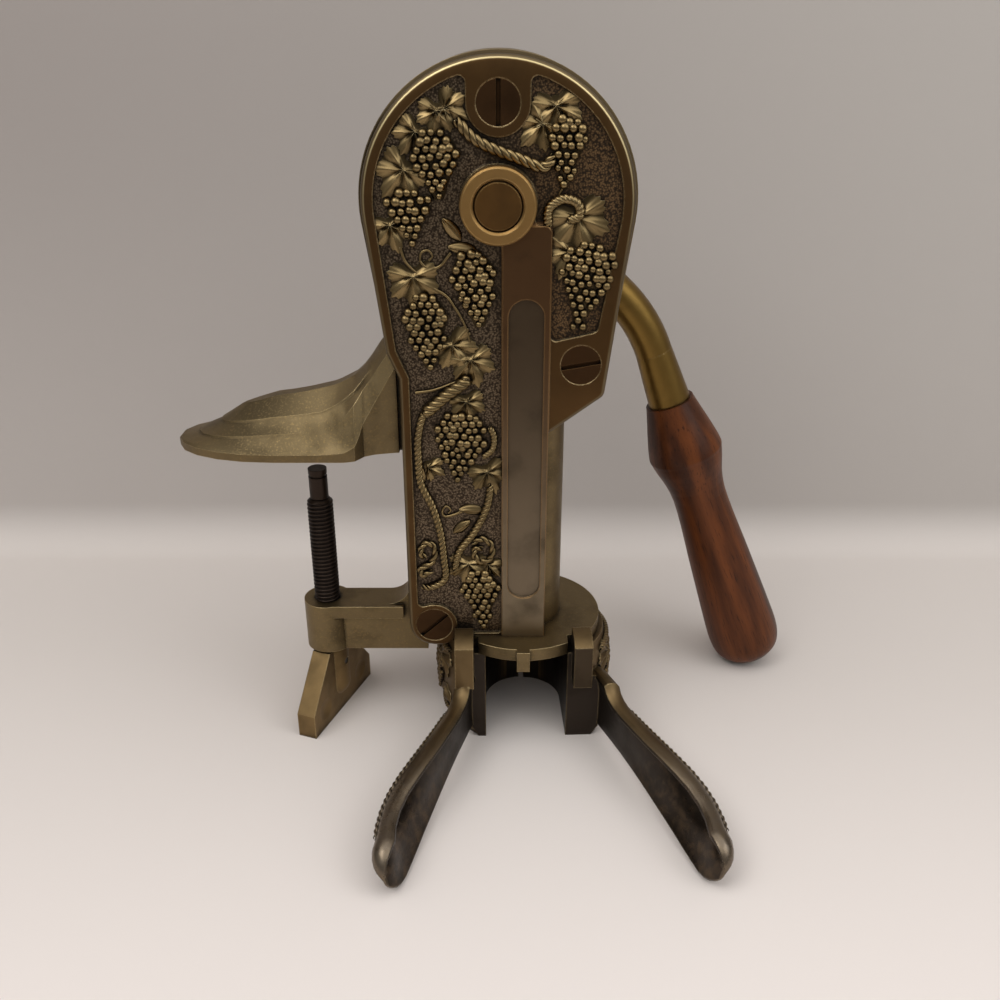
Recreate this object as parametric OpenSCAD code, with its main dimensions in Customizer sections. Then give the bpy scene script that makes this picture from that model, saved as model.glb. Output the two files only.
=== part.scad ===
// Lever corkscrew that clamps to the edge of a counter. Millimetres, +Z up.
// Places are measured from the worm axis (x = y = 0) and from the surface it stands on (z = 0).
// Each piece is then moved so that the origin lies on the counter pad, above the clamp screw.

/* [Body] */
// Outer radius of the worm column, which reaches the parting plane of the cover
column_r = 16; // [15.5:0.5:18]
// Radius of the bore in the worm column
column_bore_r = 12.6; // [12:0.1:13]
// Depth of the housing behind the worm axis
back_d = 18; // [17:0.5:22]
// Wall behind the gears
back_wall = 4; // [3:0.5:5]
// Worm axis to the left edge of the body
left_w = 46.5; // [45:0.5:50]
// Worm axis to the right edge of the cover, below the lobe
right_w = 8.8; // [8.7:0.1:10]
// Rounding of the outer edges
edge_r = 3.5; // [2:0.5:4]

/* [Head] */
// Radius of the head
head_r = 47; // [46:0.5:50]
// Lever shaft to the left of the worm axis
shaft_x = -10; // [-12:0.5:-9.5]
// Lever shaft above the collar
shaft_up = 172; // [168:1:180]
// Reach of the lobe to the right of the worm axis
lobe_x = 29.3; // [28:0.1:32]
// Corner of the lobe below the shaft
lobe_drop = 68.5; // [66:0.5:72]
// Foot of the lobe below the shaft
lobe_foot_drop = 85.5; // [84:0.5:90]
// Shoulder on the left side below the shaft
shoulder_drop = 51.5; // [48:0.5:55]
// Shoulder to the left of the body's left edge
shoulder_out = 4.3; // [2:0.1:6]
// Height of the slope from the shoulder to the body's left edge
shoulder_h = 10; // [8:0.5:14]

/* [Cover] */
// Thickness of the front cover
cover_t = 6; // [5:0.5:8]
// Rounding of the cover's front edge
cover_edge_r = 1.9; // [1.4:0.1:2.2]
// How far the housing's head stands out round the cover
head_lip = 1.2; // [0.6:0.1:1.4]
// Width of the raised rim
rim_w = 3.8; // [3:0.1:5]
// Depth of the ornament field
field_deep = 1.4; // [0.8:0.2:2]
// Width of the vertical bar
bar_w = 17.2; // [15:0.2:17.4]
// Height of the bar above the rim
bar_proud = 0.8; // [0.4:0.2:2]
// Width of the recess in the bar
recess_w = 12.8; // [10:0.2:14]
// Depth of the recess in the bar
recess_deep = 1; // [0.5:0.1:1.5]
// Bottom of the recess above the collar
recess_up = 18; // [10:1:30]
// Length of the recess
recess_len = 121.5; // [100:0.5:125]

/* [Cover screws] */
// Diameter of the screw heads
screw_head_d = 14.6; // [12:0.2:16]
// Thickness of the screw heads
screw_head_t = 3.4; // [2.5:0.1:4]
// Diameter of the screw shanks
screw_d = 5; // [4:0.5:6]
// Depth of the screw shanks in the housing
screw_deep = 12; // [8:1:14]
// Width of the driver slots
slot_w = 1.6; // [1:0.1:2]
// Depth of the driver slots
slot_deep = 1.4; // [1:0.1:2]
// Top screw above the shaft
top_screw_up = 32.3; // [31:0.1:34]
// Lobe screw to the right of the worm axis
lobe_screw_x = 20; // [18.5:0.5:20.5]
// Lobe screw below the shaft
lobe_screw_drop = 56.6; // [54:0.2:60]
// Radius of the lower left corner, round its screw
corner_r = 10.2; // [9:0.2:12]
// Lower left screw above the collar
corner_screw_up = 4.9; // [4:0.1:8]

/* [Lever] */
// Diameter of the lever shaft
shaft_d = 16.8; // [14:0.2:17]
// Radius of the bushing flange on the head
boss_r = 13; // [12:0.5:15]
// Height of the bushing flange on the head
boss_h = 5.5; // [4:0.5:7]
// Wall of the bushings
bush_wall = 2.1; // [1.5:0.1:3]
// Plane of the lever arm behind the worm axis
lever_y = 33.5; // [31.5:0.5:36]
// Diameter of the lever arm
arm_d = 15.4; // [14:0.2:16]
// Diameter of the lever arm where it meets the grip
arm_end_d = 18; // [17:0.5:19]
// Radius of the lever hub
hub_r = 17; // [15:0.5:20]
// Radius of the bend in the lever arm
bend_r = 64; // [50:1:75]
// Straight end of the lever arm above the grip
arm_run = 23; // [18:1:40]
// Lean of the grip from upright, in degrees
grip_lean = 20.5; // [17:0.5:24]
// Top of the grip to the right of the worm axis
grip_x = 63; // [60:0.5:66]
// Length of the wooden grip
grip_len = 136; // [120:1:140]
// Largest radius of the wooden grip
grip_r = 16; // [14:0.5:18]
// Diameter of the tang inside the grip
tang_d = 9; // [7:0.5:11]
// Length of the tang inside the grip
tang_len = 60; // [40:1:80]

/* [Gears and worm] */
// Module of the gear teeth
gear_m = 2; // [1.9:0.05:2.1]
// Width of the drive gear
gear_w = 8; // [6:0.5:9]
// Width of the rack
rack_w = 8; // [6:0.5:10]
// Travel of the worm carriage
travel = 50; // [40:1:52]
// Length of the carriage block
block_h = 20; // [16:1:22]
// Lead of the worm, for one turn
worm_lead = 9; // [8:0.25:10]
// Radius of the worm's centre line
worm_r = 3.1; // [2.8:0.1:3.4]
// Radius of the worm's wire
wire_r = 1.35; // [1.1:0.05:1.6]
// Length of the helix
helix_len = 67; // [64:1:72]
// Length of the worm nut
nut_h = 12; // [8:1:14]

/* [Collar and jaws] */
// Height of the jaws below the collar
jaw_h = 41.8; // [38:0.2:46]
// Thickness of the bottle collar
collar_t = 5.3; // [4:0.1:7]
// Radius of the bottle collar
collar_r = 33; // [32:0.5:35]
// Half width of the collar's front tongue
tongue_w = 18.2; // [17.8:0.1:18.4]
// Outer radius of the jaws
jaw_r = 35.5; // [34:0.5:38]
// Half width of the bottle throat
throat_r = 16.2; // [15:0.1:17]
// Jaw pins to each side of the worm axis
pin_x = 8; // [7.5:0.1:9]
// Jaw pins behind the worm axis
pin_y = 24; // [23:0.5:26]
// Diameter of the jaw pins
pin_d = 6; // [5:0.5:7]
// Rest angle of the left jaw, opening outwards, in degrees
left_open = -1; // [-1.5:0.5:1]
// Rest angle of the right jaw, opening outwards, in degrees
right_open = 2.5; // [1:0.5:4]
// Inner edge of the left handle where it leaves the jaw, from the worm axis
left_root_x = 21.8; // [21:0.1:24]
// Inner edge of the right handle where it leaves the jaw, from the worm axis
right_root_x = 29.6; // [28:0.1:31]
// Outward run of the left handle for each millimetre forwards
left_flare = 0.288; // [0.25:0.002:0.33]
// Outward run of the right handle for each millimetre forwards
right_flare = 0.32; // [0.28:0.002:0.36]
// Width of the bead along the handles' edge
bead_w = 8; // [7.4:0.1:8.6]
// Depth of the dish inside the handles
dish_deep = 1.4; // [0.8:0.1:1.8]
// Reach of the handles in front of the worm axis, up to their round ends
handle_reach = 107; // [102:1:112]
// Length of the handles' round ends
handle_end = 10; // [8:0.5:12]

/* [Counter clamp] */
// Height of the counter pad above the standing surface
pad_z = 126; // [122:1:130]
// Clamp screw to the left of the worm axis
clamp_reach = 82.6; // [80:0.2:90]
// Clamp screw in front of the worm axis
clamp_front = 4; // [2:0.5:5]
// Reach of the foot's tip to the left of the worm axis
foot_reach = 135; // [130:1:145]
// Width of the foot
foot_w = 44; // [40:1:46]
// Thickness of the foot's edge
foot_edge = 3; // [2.5:0.5:4]
// Height of the clamp arm's underside above the standing surface
arm_z = 33.4; // [32.6:0.2:35]
// Height of the clamp arm
arm_h = 22; // [20:0.5:24]
// Radius of the arm's end boss
arm_boss_r = 9.8; // [9:0.1:11]
// Diameter of the clamp screw's thread
thread_d = 10.6; // [10.2:0.2:13]
// Length of the thread above the wing
thread_len = 69.6; // [62:0.2:71]
// Diameter of the clamp nose
nose_d = 7.5; // [6:0.5:8]
// Length of the clamp nose
nose_len = 12.6; // [10:0.2:14]
// Length of the thumb wing
wing_len = 51; // [44:1:56]
// Thickness of the thumb wing
wing_t = 8.2; // [6:0.1:9]
// Turn of the thumb wing from the front, in degrees
wing_turn = 20; // [0:1:40]

/* [Fits] */
// Radial clearance of running fits
run_gap = 0.05; // [0.03:0.01:0.1]
// Clearance of fixed seats
seat_gap = 0.02; // [0.01:0.01:0.05]
// Clearance between faces that move past each other
air = 0.3; // [0.2:0.05:0.5]

/* [Hidden] */

$fn = 64;
// Segments of the circles inside hulls
hull_fn = 48;
// Overrun of cuts past the faces they leave
cut = 1;

// Levels of the body, from the standing surface up
collar_z = jaw_h + air;
body_z = collar_z + collar_t;
shaft_z = body_z + shaft_up;

// Depths of the body, from the worm axis
part_y = -column_r;
face_y = part_y - cover_t;
field_y = face_y + field_deep;
bar_y = face_y - bar_proud;
// Length of the bar, which ends beside the bushing
bar_len = shaft_up - 7;
bar_corner = 2.4;
// Extra width of the rim round the head, and radius of the field's corners
head_rim = 0.6;
field_corner = 2.2;
// Chamfers round the front bushing and on the front end of the shaft
ring_bevel = 0.6;
pocket_y = back_d - back_wall;

// Centres of the rounded corners of the outline on the front, as [x, z]
bend = edge_r + 0.2;
shoulder = [-left_w - shoulder_out + bend, shaft_z - shoulder_drop];
knee = [-left_w + bend, shoulder[1] - shoulder_h];
lobe = [lobe_x - bend, shaft_z - lobe_drop + bend / 2];
lobe_foot = [right_w - bend, shaft_z - lobe_foot_drop + bend];
corner = [corner_r - left_w, body_z + corner_screw_up];
heel = [right_w - bend, corner[1] - corner_r + bend];
// Outlines of the head and of the trunk below it, as [x, z, radius] at each corner
head_outline = [[shaft_x, shaft_z, head_r], [shoulder[0], shoulder[1], bend], [knee[0], knee[1], bend],
    [lobe[0], lobe[1], bend], [lobe_foot[0], lobe_foot[1], bend]];
housing_outline = concat([[shaft_x, shaft_z, head_r + head_lip]], [for (i = [1 : 4]) head_outline[i]]);
trunk_outline = [[corner[0], corner[1], corner_r], [heel[0], heel[1], bend], [knee[0], knee[1], bend],
    [lobe_foot[0], lobe_foot[1], bend]];

// Cover screws, as [x, z, turn of the slot]
cover_screw_at = [
    [shaft_x, shaft_z + top_screw_up, 90],
    [lobe_screw_x, shaft_z - lobe_screw_drop, 10],
    [corner[0], corner[1], 42]
];

// Gear train: drive gear on the shaft, idler, and the rack right of the idler
gear_teeth = 20;
idler_teeth = 15;
pressure = 20;
addendum = 0.8 * gear_m;
dedendum = 1.05 * gear_m;
// Thinning of each tooth flank at the pitch circle
backlash = 0.1;
gear_r = gear_m * gear_teeth / 2;
idler_r = gear_m * idler_teeth / 2;
shaft_r = shaft_d / 2;
// Room between the shaft and the tips of the rack
rack_clear = 1;
rack_x = shaft_x + shaft_r + rack_clear + addendum;
idler_x = rack_x - idler_r;
mesh_r = gear_r + idler_r;
idler_z = shaft_z - sqrt(mesh_r * mesh_r - (shaft_x - idler_x) * (shaft_x - idler_x));
mesh_angle = atan2(idler_z - shaft_z, idler_x - shaft_x);
idler_phase = mesh_angle + 180 + 180 / idler_teeth;
// Offset along the rack of the idler tooth that points at it
rack_phase = (idler_phase - 360 / idler_teeth * round(idler_phase * idler_teeth / 360)) * PI / 180 * idler_r;
tooth_pitch = PI * gear_m;
gear_y = part_y + 2;
gear_back_y = gear_y + gear_w;
rack_y = gear_back_y + 2;
rack_back_y = rack_y + rack_w;
rack_t = 9;
rack_over = 6;
rack_top = idler_z + travel + rack_over;
idler_pin_r = 5;
idler_boss_r = 8;
key_w = 4;

// Carriage and worm, at rest in the top position
block_top = idler_z - idler_r - addendum - 1;
block_z = block_top - block_h;
block_r = column_bore_r - air;
chamber_z = block_z + 5;
chamber_h = 8;
chamber_r = 6.5;
spindle_r = 3;
flange_r = 5.5;
flange_t = 1.7;
washer_t = 1;
retainer_h = 5;
tip_z = body_z + 3.6;
helix_top = tip_z + helix_len;
worm_out_r = worm_r + wire_r;
spigot_h = 6.5;
spigot_wall = 1.5;
nut_z = body_z + spigot_h + air;
peg_z = nut_z + nut_h / 2;
peg_r = 1.4;
collar_bore_r = column_bore_r - seat_gap - spigot_wall;

// Lever: the grip's axis is tangent to the bend, and the bend runs on to the hub
hub_half = arm_d / 2 + 0.5;
hub_y0 = lever_y - hub_half;
hub_y1 = lever_y + hub_half;
boss_back_r = hub_r;
back_boss_h = 4;
back_flange_t = hub_y0 - air - back_d - back_boss_h;
hub_seat_r = 7;
hub_screw_len = 5;
// Reach of the bend into the straight ends of the arm, in degrees
bend_in = 0.6;
bush_r = shaft_r + run_gap + bush_wall;
hub_pin_r = 2.5;
// Hub pin in front of the lever's plane
hub_pin_front = 2;
// Flat end of the grip, as a share of its largest radius
grip_flat = 0.42;
// Top of the grip, as [x, z], set so that the edge of its flat end touches the standing surface
grip_top = [grip_x, grip_len * cos(grip_lean) + grip_flat * grip_r * sin(grip_lean) + 0.1];
grip_up = [-sin(grip_lean), cos(grip_lean)];
bend_start = grip_top + arm_run * grip_up;
bend_mid = bend_start - bend_r * [cos(grip_lean), sin(grip_lean)];
hub_at = [shaft_x, shaft_z];
bend_far = norm(hub_at - bend_mid);
bend_end_angle = atan2(hub_at[1] - bend_mid[1], hub_at[0] - bend_mid[0]) - acos(bend_r / bend_far);
bend_end = bend_mid + bend_r * [cos(bend_end_angle), sin(bend_end_angle)];
// Outline of the grip, as [distance from the top, share of its largest radius]
grip_shape = [[0, 0.64], [0.02, 0.68], [0.16, 0.98], [0.205, 0.96], [0.34, 0.73],
    [0.6, 0.86], [0.8, 0.97], [0.9, 1], [0.955, 0.91], [0.985, 0.69]];

// Jaws
pivot = [pin_x, pin_y];
pin_head_r = 5;
pin_head_t = 3.2;
pin_head_z = 0.8;
jaw_split = 1;
split_angle = 14;
jaw_front = 27;
// Inner faces of the ears, left and right, which stop on the collar's tongue
left_ear_x = tongue_w + 2.9;
right_ear_x = tongue_w - 0.1;
ear_w = 7.6;
ear_back = cover_t + column_r + 2 * air;
ear_deep = 11.8;
ear_rise = collar_t + 4.2;
ear_foot = 29.4;
// Bevel of the ears' front edge on top, as [depth, height]
ear_bevel = [4.4, 2.8];
// Height of the plates between the throat and the handles
plate_h = 30.2;
plate_deep = 12;
// Bevel of the plates' outer foot, as [width, height]
plate_bevel = [2.4, 4.8];
// Along a handle, for the distance in front of the worm axis: inner edge of the bead, share of the bead's width,
// heights of the top and of the underside, share of the dish
handle_inner = [[12, -1.4], [37, -1.4], [47, -0.8], [56, 0], [64, 1.1], [72, 2.4], [80, 4], [88, 5.6], [95, 6],
    [101, 5.3], [handle_reach, 3.4]];
handle_bead = [[12, 0.82], [30, 0.9], [37, 0.95], [47, 0.98], [64, 1.02], [80, 1.02], [88, 0.96], [95, 0.93],
    [101, 0.93], [handle_reach, 1]];
handle_h = [[12, 29], [27, 31], [34.4, 31], [36, 28.7], [38.5, 27], [42, 26], [47, 25.6], [56, 25.6], [72, 24.8],
    [80, 23.8], [88, 22.3], [95, 20.8], [101, 19.5], [handle_reach, 18.6]];
handle_low = [[12, 4], [27, 4.5], [37, 5.2], [47, 5.5], [56, 5.3], [64, 4.8], [72, 4.1], [80, 3.3], [88, 2.5],
    [95, 1.5], [101, 0.8], [handle_reach, 0.3]];
handle_dish = [[44, 0.2], [60, 0.7], [75, 1], [handle_reach, 0.9]];
handle_rows = [12, 27, 34.4, 36, 38.5, 42, 47, 56, 64, 72, 80, 88, 95, 101];
handle_end_rows = [0, 0.35, 0.6, 0.8, 0.92, 0.98, 1];
lug_w = 5.2;
lug_out = 2.5;
lug_drop = 3.6;

// Counter clamp
clamp_y = -clamp_front;
foot_tip_len = 40;
// Insets of the foot's contours, each terrace a close pair, with their share of the rise to the ridge
terrace_in = [0, 0.8, 5.2, 5.6, 10.4, 10.8, 19];
// Their insets at the tip
tip_in = [0, 0.8, 7.8, 8.2, 16.6, 17, 26];
terrace_share = [0, 0.05, 0.29, 0.29, 0.56, 0.56, 0.92];
// Where each contour starts to climb to the neck, as a distance out from the body's left edge, and its share there
climb_from = [18, 18, 26.5, 26.5, 30.5, 30.5, 40];
climb_share = [0, 0.06, 0.55, 0.55, 0.72, 0.72, 0.92];
climb_to = 17.5;
terrace_step = [0, 0, 0, 0.045, 0, 0.045, 0];
// Heights of the contours above the pad at the tip
terrace_tip = [foot_edge, foot_edge + 0.8, 5.2, 5.9, 9.6, 10.4, 16.2];
// Along the foot, for the distance out from the body's left edge: share of the width, edge and ridge heights
foot_share = [[-4, 0.5], [2.5, 0.545], [7.3, 0.59], [11.2, 0.64], [14.5, 0.73], [16, 0.84], [17.5, 0.94], [21.5, 1]];
foot_edge_up = [[-4, 41], [2.5, 30], [7.3, 22], [11.2, 15.5], [14.5, 10], [16, 5.5], [17.5, 2.6], [21.5, 0.8], [29.5, 0]];
foot_ridge = [[-4, 64], [3, 48.5], [5.5, 45], [8.1, 42], [11.6, 36.8], [14.5, 33.2], [17.5, 30.7], [25.5, 26.4],
    [39, 23], [53.3, 21], [68, 18]];
foot_rows = [-bend, 0.5, 3, 5.5, 8.1, 9.7, 11.4, 13, 14.5, 16, 17.5, 19.5, 21.5, 24, 26.5, 30.5, 36, 42];
foot_tip_steps = 11;
arm_flange_front = 9.2;
arm_flange_back = 7;
arm_flange_t = 5.5;
arm_flange_end = 3.2;
arm_web_w = 13;
arm_fillet_r = 10;
// Room beside the jaws for the open left jaw
jaw_room = 4.5;
groove_w = 1.6;
groove_deep = 3;
thread_r = thread_d / 2;
wing_z = arm_z - 1;
shank_r = 4.5;
shank_len = 19;
wing_hub_r = 7;
wing_end_h = 11;
wing_top_w = 18;
dimple_r = 5;
dimple_deep = 0.8;
wing_pin_r = 1.5;
nose_stem_r = 2.2;
nose_stem_len = 8;

body_tan = "#8a7547";
brass = "#a58c55";
olive_brass = "#8c7840";
bronze_dark = "#4a3f2e";
steel = "#6f6f70";
black_steel = "#2f2b28";
walnut = "#6a3a1e";

// Moves a piece from the worm axis and the standing surface to the origin on the counter pad
module in_frame() translate([clamp_reach, clamp_front, -pad_z]) children();

// Extrudes a front view, drawn as x and z, from depth y0 to depth y1
module along_y(y0, y1) translate([0, y1, 0]) rotate([90, 0, 0]) linear_extrude(height = y1 - y0) children();

// Round bar along Y from y0 to y1 on the axis at [x, z]
module rod_y(at, r, y0, y1) translate([at[0], y0, at[1]]) rotate([-90, 0, 0]) cylinder(r = r, h = y1 - y0);

// Cone along Y from radius r0 at y0 to radius r1 at y1 on the axis at [x, z]
module cone_y(at, r0, r1, y0, y1) translate([at[0], y0, at[1]]) rotate([-90, 0, 0]) cylinder(r1 = r0, r2 = r1, h = y1 - y0);

// Round bar between two points of the lever's plane, given as [x, z]
module arm_bar(p, q, d0, d1) {
    run = q - p;
    translate([p[0], lever_y, p[1]])
        rotate([0, 90 - atan2(run[1], run[0]), 0])
            cylinder(d1 = d0, d2 = d1, h = norm(run));
}

// Solid of an outline with round corners, whose edge towards y_edge is rounded by radius r
module rounded_slab(outline, y_full, y_edge, r) {
    side = sign(y_edge - y_full);
    skin = 0.02;
    hull() {
        for (c = outline) {
            fine = c[2] > corner_r ? 2 * hull_fn : hull_fn / 2;
            y_root = y_edge - side * r;
            rod_y([c[0], c[1]], c[2], min(y_full, y_root), max(y_full, y_root), $fn = fine);
            for (turn = [30, 60, 90]) {
                y = y_edge - side * (r * (1 - sin(turn)) + skin / 2);
                rod_y([c[0], c[1]], c[2] - r * (1 - cos(turn)), y - skin / 2, y + skin / 2, $fn = fine);
            }
        }
    }
}

// Space below the collar's top plane, beside the round lower left corner
module below_body(y0, y1) {
    difference() {
        translate([corner[0], y0 - cut, corner[1] - corner_r - cut])
            cube([left_w + lobe_x, y1 - y0 + 2 * cut, body_z - corner[1] + corner_r + cut]);
        rod_y(corner, corner_r, y0 - 2 * cut, y1 + 2 * cut);
    }
}

// Height of a contour of the foot above the pad, at distance u out from the body's left edge
function foot_up(k, u) =
    let (low = foot_edge + lookup(u, foot_edge_up), fade = max(0.2, min(1, (u - 6) / 10)),
        climb = max(0, min(1, (climb_from[k] - u) / (climb_from[k] - climb_to + 0.1))),
        share = terrace_share[k] + (climb_share[k] - terrace_share[k]) * climb)
    low + (lookup(u, foot_ridge) - low) * (share + terrace_step[k] * fade);
function foot_half(k, u) = lookup(u, foot_share) * (foot_w / 2 - terrace_in[k]);
// Contour of the foot from its front end at the body, round the tip and back
function foot_contour(k) =
    let (mid = foot_tip_len - foot_reach, mid_u = -left_w - mid, rows = concat(foot_rows, [mid_u]),
        long = foot_tip_len - tip_in[k], z_mid = foot_up(k, mid_u))
    concat(
        [for (u = rows) [-left_w - u, clamp_y - foot_half(k, u), pad_z + foot_up(k, u)]],
        [for (i = [1 : foot_tip_steps - 1]) let (a = 270 - 180 * i / foot_tip_steps)
            [mid + long * cos(a), clamp_y + foot_half(k, mid_u) * sin(a),
                pad_z + z_mid + (terrace_tip[k] - z_mid) * -cos(a)]],
        [for (i = [len(rows) - 1 : -1 : 0]) let (u = rows[i])
            [-left_w - u, clamp_y + foot_half(k, u), pad_z + foot_up(k, u)]]);

// Counter foot, with two terraces round its tip, swept up to the head
module foot() {
    rim = foot_contour(0);
    loops = concat([[for (p = rim) [p[0], p[1], pad_z]]], [for (k = [0 : len(terrace_in) - 1]) foot_contour(k)]);
    n = len(rim);
    top = n * (len(loops) - 1);
    side_faces = [for (k = [0 : len(loops) - 2]) for (i = [0 : n - 2])
        let (lo = n * k + i, hi = lo + n)
        each [[hi + 1, hi, lo], [hi + 1, lo, lo + 1]]];
    end_faces = [for (k = [0 : len(loops) - 2])
        let (a = n * k, b = a + n)
        each [[a, b, b + n - 1], [a, b + n - 1, a + n - 1]]];
    flat_faces = [for (i = [0 : n / 2 - 2])
        let (j = n - 1 - i)
        each [[top + i, top + i + 1, top + j - 1], [top + i, top + j - 1, top + j],
            [i + 1, i, j], [j - 1, i + 1, j]]];
    polyhedron(points = [for (loop = loops) each loop], faces = concat(side_faces, end_faces, flat_faces));
}

// Clamp arm: web, top flange, end boss and the fillet at the body
module clamp_arm() {
    x0 = -clamp_reach;
    root_x = -collar_r - air;
    low_root_x = -jaw_r - jaw_room;
    arm_top = arm_z + arm_h;
    translate([x0, clamp_y - arm_web_w / 2, arm_z]) cube([low_root_x - x0, arm_web_w, arm_h - cut]);
    translate([low_root_x - cut, clamp_y - arm_web_w / 2, collar_z])
        cube([root_x - low_root_x + cut, arm_web_w, arm_top - collar_z - cut]);
    translate([x0, clamp_y - arm_flange_front, arm_top - arm_flange_t])
        cube([-left_w - arm_flange_end - x0, arm_flange_front + arm_flange_back, arm_flange_t]);
    translate([x0, clamp_y - arm_web_w / 2, arm_top - arm_flange_t])
        cube([root_x - x0, arm_web_w / 2 + arm_flange_back, arm_flange_t]);
    translate([x0, clamp_y, arm_z]) cylinder(r = arm_boss_r, h = arm_h);
    along_y(clamp_y - arm_web_w / 2, clamp_y + arm_flange_back)
        difference() {
            translate([-left_w - arm_fillet_r, arm_top - cut]) square([arm_fillet_r + cut, arm_fillet_r + cut]);
            translate([-left_w - arm_fillet_r, arm_top + arm_fillet_r]) circle(r = arm_fillet_r);
        }
}

// Front view of the gear pocket
module pocket_view() {
    translate(hub_at) circle(r = gear_r + addendum + 2);
    translate([idler_x, idler_z]) circle(r = idler_r + addendum + 1.5);
    rack_room = rack_x + rack_t + 2;
    translate([shaft_x, block_top - cut]) square([rack_room - shaft_x, rack_top + 3 - block_top + cut]);
}

module rear_housing() color(body_tan) in_frame() {
    difference() {
        union() {
            difference() {
                union() {
                    rounded_slab(housing_outline, part_y, back_d, edge_r);
                    rounded_slab(trunk_outline, part_y, back_d, edge_r);
                    translate([0, 0, body_z]) cylinder(r = column_r, h = lobe[1] - body_z);
                }
                translate([-left_w - cut, part_y - cut, corner[1] - corner_r - cut])
                    cube([left_w + lobe_x, back_d - part_y + 2 * cut, body_z - corner[1] + corner_r + cut]);
            }
            rod_y(hub_at, boss_back_r, back_d - cut, back_d + back_boss_h);
            foot();
            clamp_arm();
        }
        difference() {
            along_y(part_y - cut, pocket_y) pocket_view();
            rod_y([idler_x, idler_z], idler_boss_r, rack_back_y + air, pocket_y + cut);
        }
        translate([0, 0, body_z - cut]) cylinder(r = column_bore_r, h = block_top + air - body_z + cut);
        along_y(part_y - cut, pocket_y)
            polygon([[-left_w + back_wall, corner[1] + corner_r + 2], [-column_r - 2, corner[1] + corner_r + 2],
                [-column_r - 2, lobe_foot[1]], [-left_w + back_wall, lobe_foot[1]]]);
        rod_y(hub_at, bush_r + seat_gap, pocket_y - cut, back_d + back_boss_h + cut);
        rod_y([idler_x, idler_z], idler_pin_r + seat_gap, part_y, pocket_y);
        for (s = cover_screw_at) rod_y([s[0], s[1]], screw_d / 2 + seat_gap, part_y - cut, part_y + screw_deep);
        for (p = collar_screw_at) translate([p[0], p[1], body_z - cut])
            cylinder(r = screw_d / 2 + seat_gap, h = screw_deep + cut);
        translate([-clamp_reach, clamp_y, arm_z - cut]) cylinder(r = thread_r + run_gap, h = arm_h + 2 * cut);
        translate([-left_w - groove_w, part_y - cut, pad_z - cut])
            cube([groove_w, groove_deep + cut, knee[1] - pad_z + 2]);
    }
}

// Front view of the bar, round at its free corner beside the bushing
module bar_view() {
    translate([-bar_w / 2, body_z]) square([bar_w, bar_len - bar_corner]);
    translate([-bar_w / 2, body_z]) square([bar_w - bar_corner, bar_len]);
    translate([bar_w / 2 - bar_corner, body_z + bar_len - bar_corner]) circle(r = bar_corner);
}

// Ornament field left and right of the bar
module field_view() {
    inset = rim_w;
    side_x = bar_w / 2;
    field_r = head_r - inset - head_rim;
    offset(r = field_corner) offset(delta = -field_corner) difference() {
        union() {
            translate(hub_at) circle(r = field_r);
            polygon([
                hub_at + field_r * [cos(188), sin(188)],
                shoulder + [inset - bend, 0],
                knee + [inset - bend, 0],
                [knee[0] + inset - bend, corner[1]],
                [corner[0], corner[1]],
                [corner[0] + corner_r + 2, body_z + cut],
                [side_x, body_z + cut],
                [side_x, lobe_foot[1]],
                [side_x, cover_screw_at[1][1] + screw_head_d / 2 + 1],
                [lobe[0] + bend - inset, cover_screw_at[1][1] + screw_head_d / 2 + 5],
                hub_at + field_r * [cos(-8), sin(-8)]]);
        }
        bar_view();
        translate(hub_at) circle(r = boss_r + 0.5);
        translate(corner) circle(r = corner_r - 0.8);
        translate([shaft_x, shaft_z + top_screw_up]) circle(r = screw_head_d / 2 + 3.5);
        translate([shaft_x - screw_head_d / 2 - 3.5, shaft_z + top_screw_up]) square([screw_head_d + 7, head_r]);
    }
}

module front_cover() color(body_tan) in_frame() {
    difference() {
        union() {
            rounded_slab(head_outline, part_y, face_y, cover_edge_r);
            rounded_slab(trunk_outline, part_y, face_y, cover_edge_r);
            along_y(bar_y, face_y + cut) bar_view();
        }
        below_body(bar_y, part_y);
        along_y(face_y - cut, field_y) field_view();
        along_y(bar_y - cut, bar_y + recess_deep) {
            for (z = [recess_up + recess_w / 2, recess_up + recess_len - recess_w / 2])
                translate([0, body_z + z]) circle(d = recess_w);
            translate([-recess_w / 2, body_z + recess_up + recess_w / 2])
                square([recess_w, recess_len - recess_w]);
        }
        rod_y(hub_at, boss_r + seat_gap, bar_y - cut, face_y);
        rod_y(hub_at, bush_r + seat_gap, bar_y - cut, part_y + cut);
        for (s = cover_screw_at) {
            rod_y([s[0], s[1]], screw_head_d / 2 + seat_gap, face_y - cut, face_y + screw_head_t);
            rod_y([s[0], s[1]], screw_d / 2 + seat_gap, face_y, part_y + cut);
        }
    }
}

// Slotted screw along Y, its head flush with the front of the cover
module cover_screw(at) {
    difference() {
        union() {
            rod_y([at[0], at[1]], screw_head_d / 2, face_y, face_y + screw_head_t);
            rod_y([at[0], at[1]], screw_d / 2, face_y + screw_head_t - cut, part_y + screw_deep - cut);
        }
        translate([at[0], face_y, at[1]]) rotate([0, -at[2], 0])
            cube([screw_head_d + cut, 2 * slot_deep, slot_w], center = true);
    }
}

module cover_screws() color(bronze_dark) in_frame() {
    for (s = cover_screw_at) cover_screw(s);
}

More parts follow.
